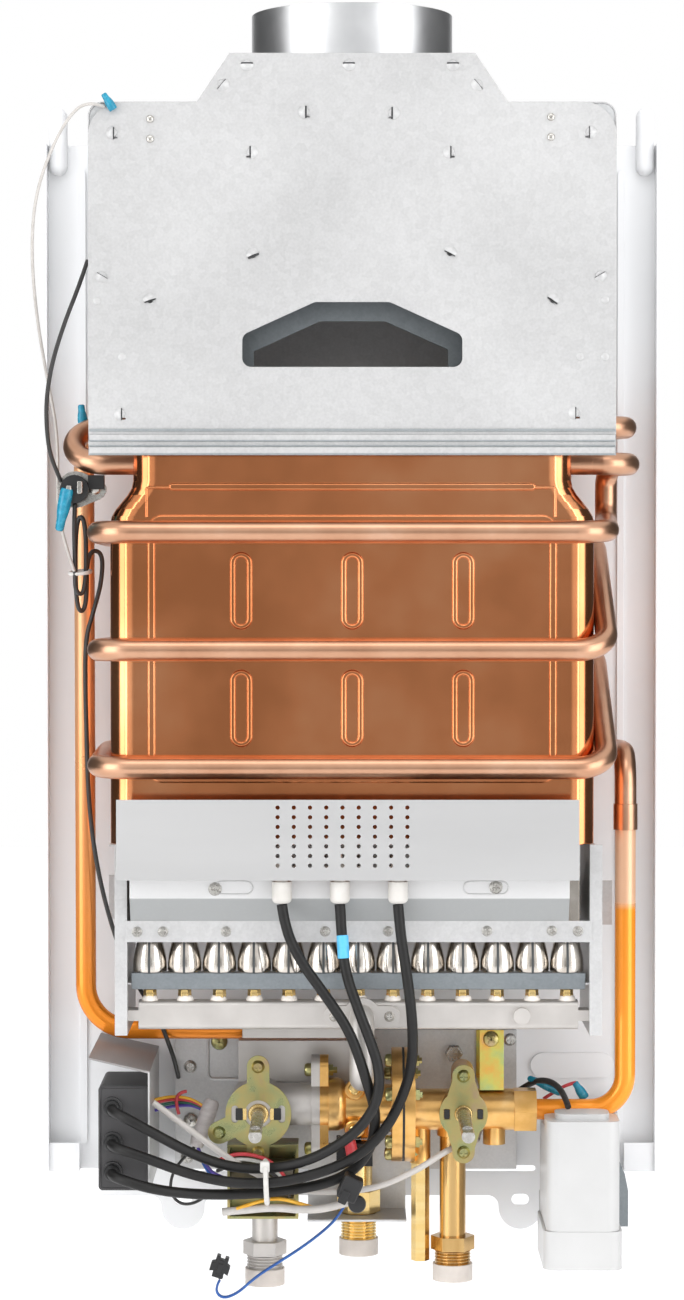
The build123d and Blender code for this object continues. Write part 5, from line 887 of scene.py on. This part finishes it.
def card(name, place, target, size, grey):
    """A studio card that only shows in polished metal."""
    mesh = bpy.data.meshes.new(name)
    half, tall = size[0] / 2 * MM, size[1] / 2 * MM
    mesh.from_pydata([(-half, -tall, 0), (half, -tall, 0), (half, tall, 0), (-half, tall, 0)], [],
                     [(0, 1, 2, 3)])
    material = bpy.data.materials.new(name + "_paper")
    material.use_nodes = True
    tree = material.node_tree
    tree.nodes.clear()
    place_in = add(tree, "ShaderNodeTexCoord", {}).outputs["Object"]
    grain = add(tree, "ShaderNodeTexNoise", {"Vector": place_in, "Scale": grains(400)})
    tone = add(tree, "ShaderNodeMapRange", {"Value": grain.outputs["Fac"], "To Min": grey * 0.9,
                                            "To Max": grey * 1.1})
    glow = add(tree, "ShaderNodeEmission", {"Color": (1, 1, 1, 1), "Strength": tone.outputs["Result"]})
    add(tree, "ShaderNodeOutputMaterial", {"Surface": glow.outputs[0]})
    mesh.materials.append(material)
    paper = bpy.data.objects.new(name, mesh)
    bpy.context.scene.collection.objects.link(paper)
    aim(paper, place, target)
    paper.visible_camera = False
    paper.visible_diffuse = False
    paper.visible_shadow = False


# Studio cards: a grey one in front, pale strips and bright kickers at both sides, dark flags behind
card("front_card", (0, 3000, -250), MIDDLE, (1900, 2200), 0.45)
for kind, across, depth, size, grey in (("strip", 1500, 1750, (900, 2600), 1.05),
                                        ("kicker", 1450, 1700, (240, 2600), 6.0),
                                        ("flag", 2000, -900, (3600, 3400), 0.08)):
    for side, sign in (("left", -1), ("right", 1)):
        card(f"{side}_{kind}", (sign * across, depth, 370), MIDDLE, size, grey)

# Pale floor below the object, for its shadow
FLOOR_HEIGHT = -320
FLOOR_REACH = 6000
FLOOR_GLOW = 0.25
floor_mesh = bpy.data.meshes.new("floor")
reach = FLOOR_REACH * MM
drop = FLOOR_HEIGHT * MM
floor_mesh.from_pydata([(-reach, -reach, drop), (reach, -reach, drop), (reach, reach, drop),
                        (-reach, reach, drop)], [], [(0, 1, 2, 3)])
floor_paper = bpy.data.materials.new("floor_paper")
floor_paper.use_nodes = True
paper_tree = floor_paper.node_tree
paper_shader = paper_tree.nodes["Principled BSDF"]
paper_place = add(paper_tree, "ShaderNodeTexCoord", {}).outputs["Object"]
fibre = add(paper_tree, "ShaderNodeTexNoise", {"Vector": paper_place, "Scale": grains(900)})
finish(paper_tree, paper_shader, fibre.outputs["Fac"], [(0.3, "#f4f4f4"), (0.7, "#f8f8f8")], (0.8, 0.9),
       fibre.outputs["Fac"], 0.0, 0.1)
paper_shader.inputs["Emission Color"].default_value = (1, 1, 1, 1)
paper_shader.inputs["Emission Strength"].default_value = FLOOR_GLOW
floor_mesh.materials.append(floor_paper)
floor = bpy.data.objects.new("floor", floor_mesh)
bpy.context.scene.collection.objects.link(floor)

bpy.context.scene.view_settings.view_transform = "Standard"
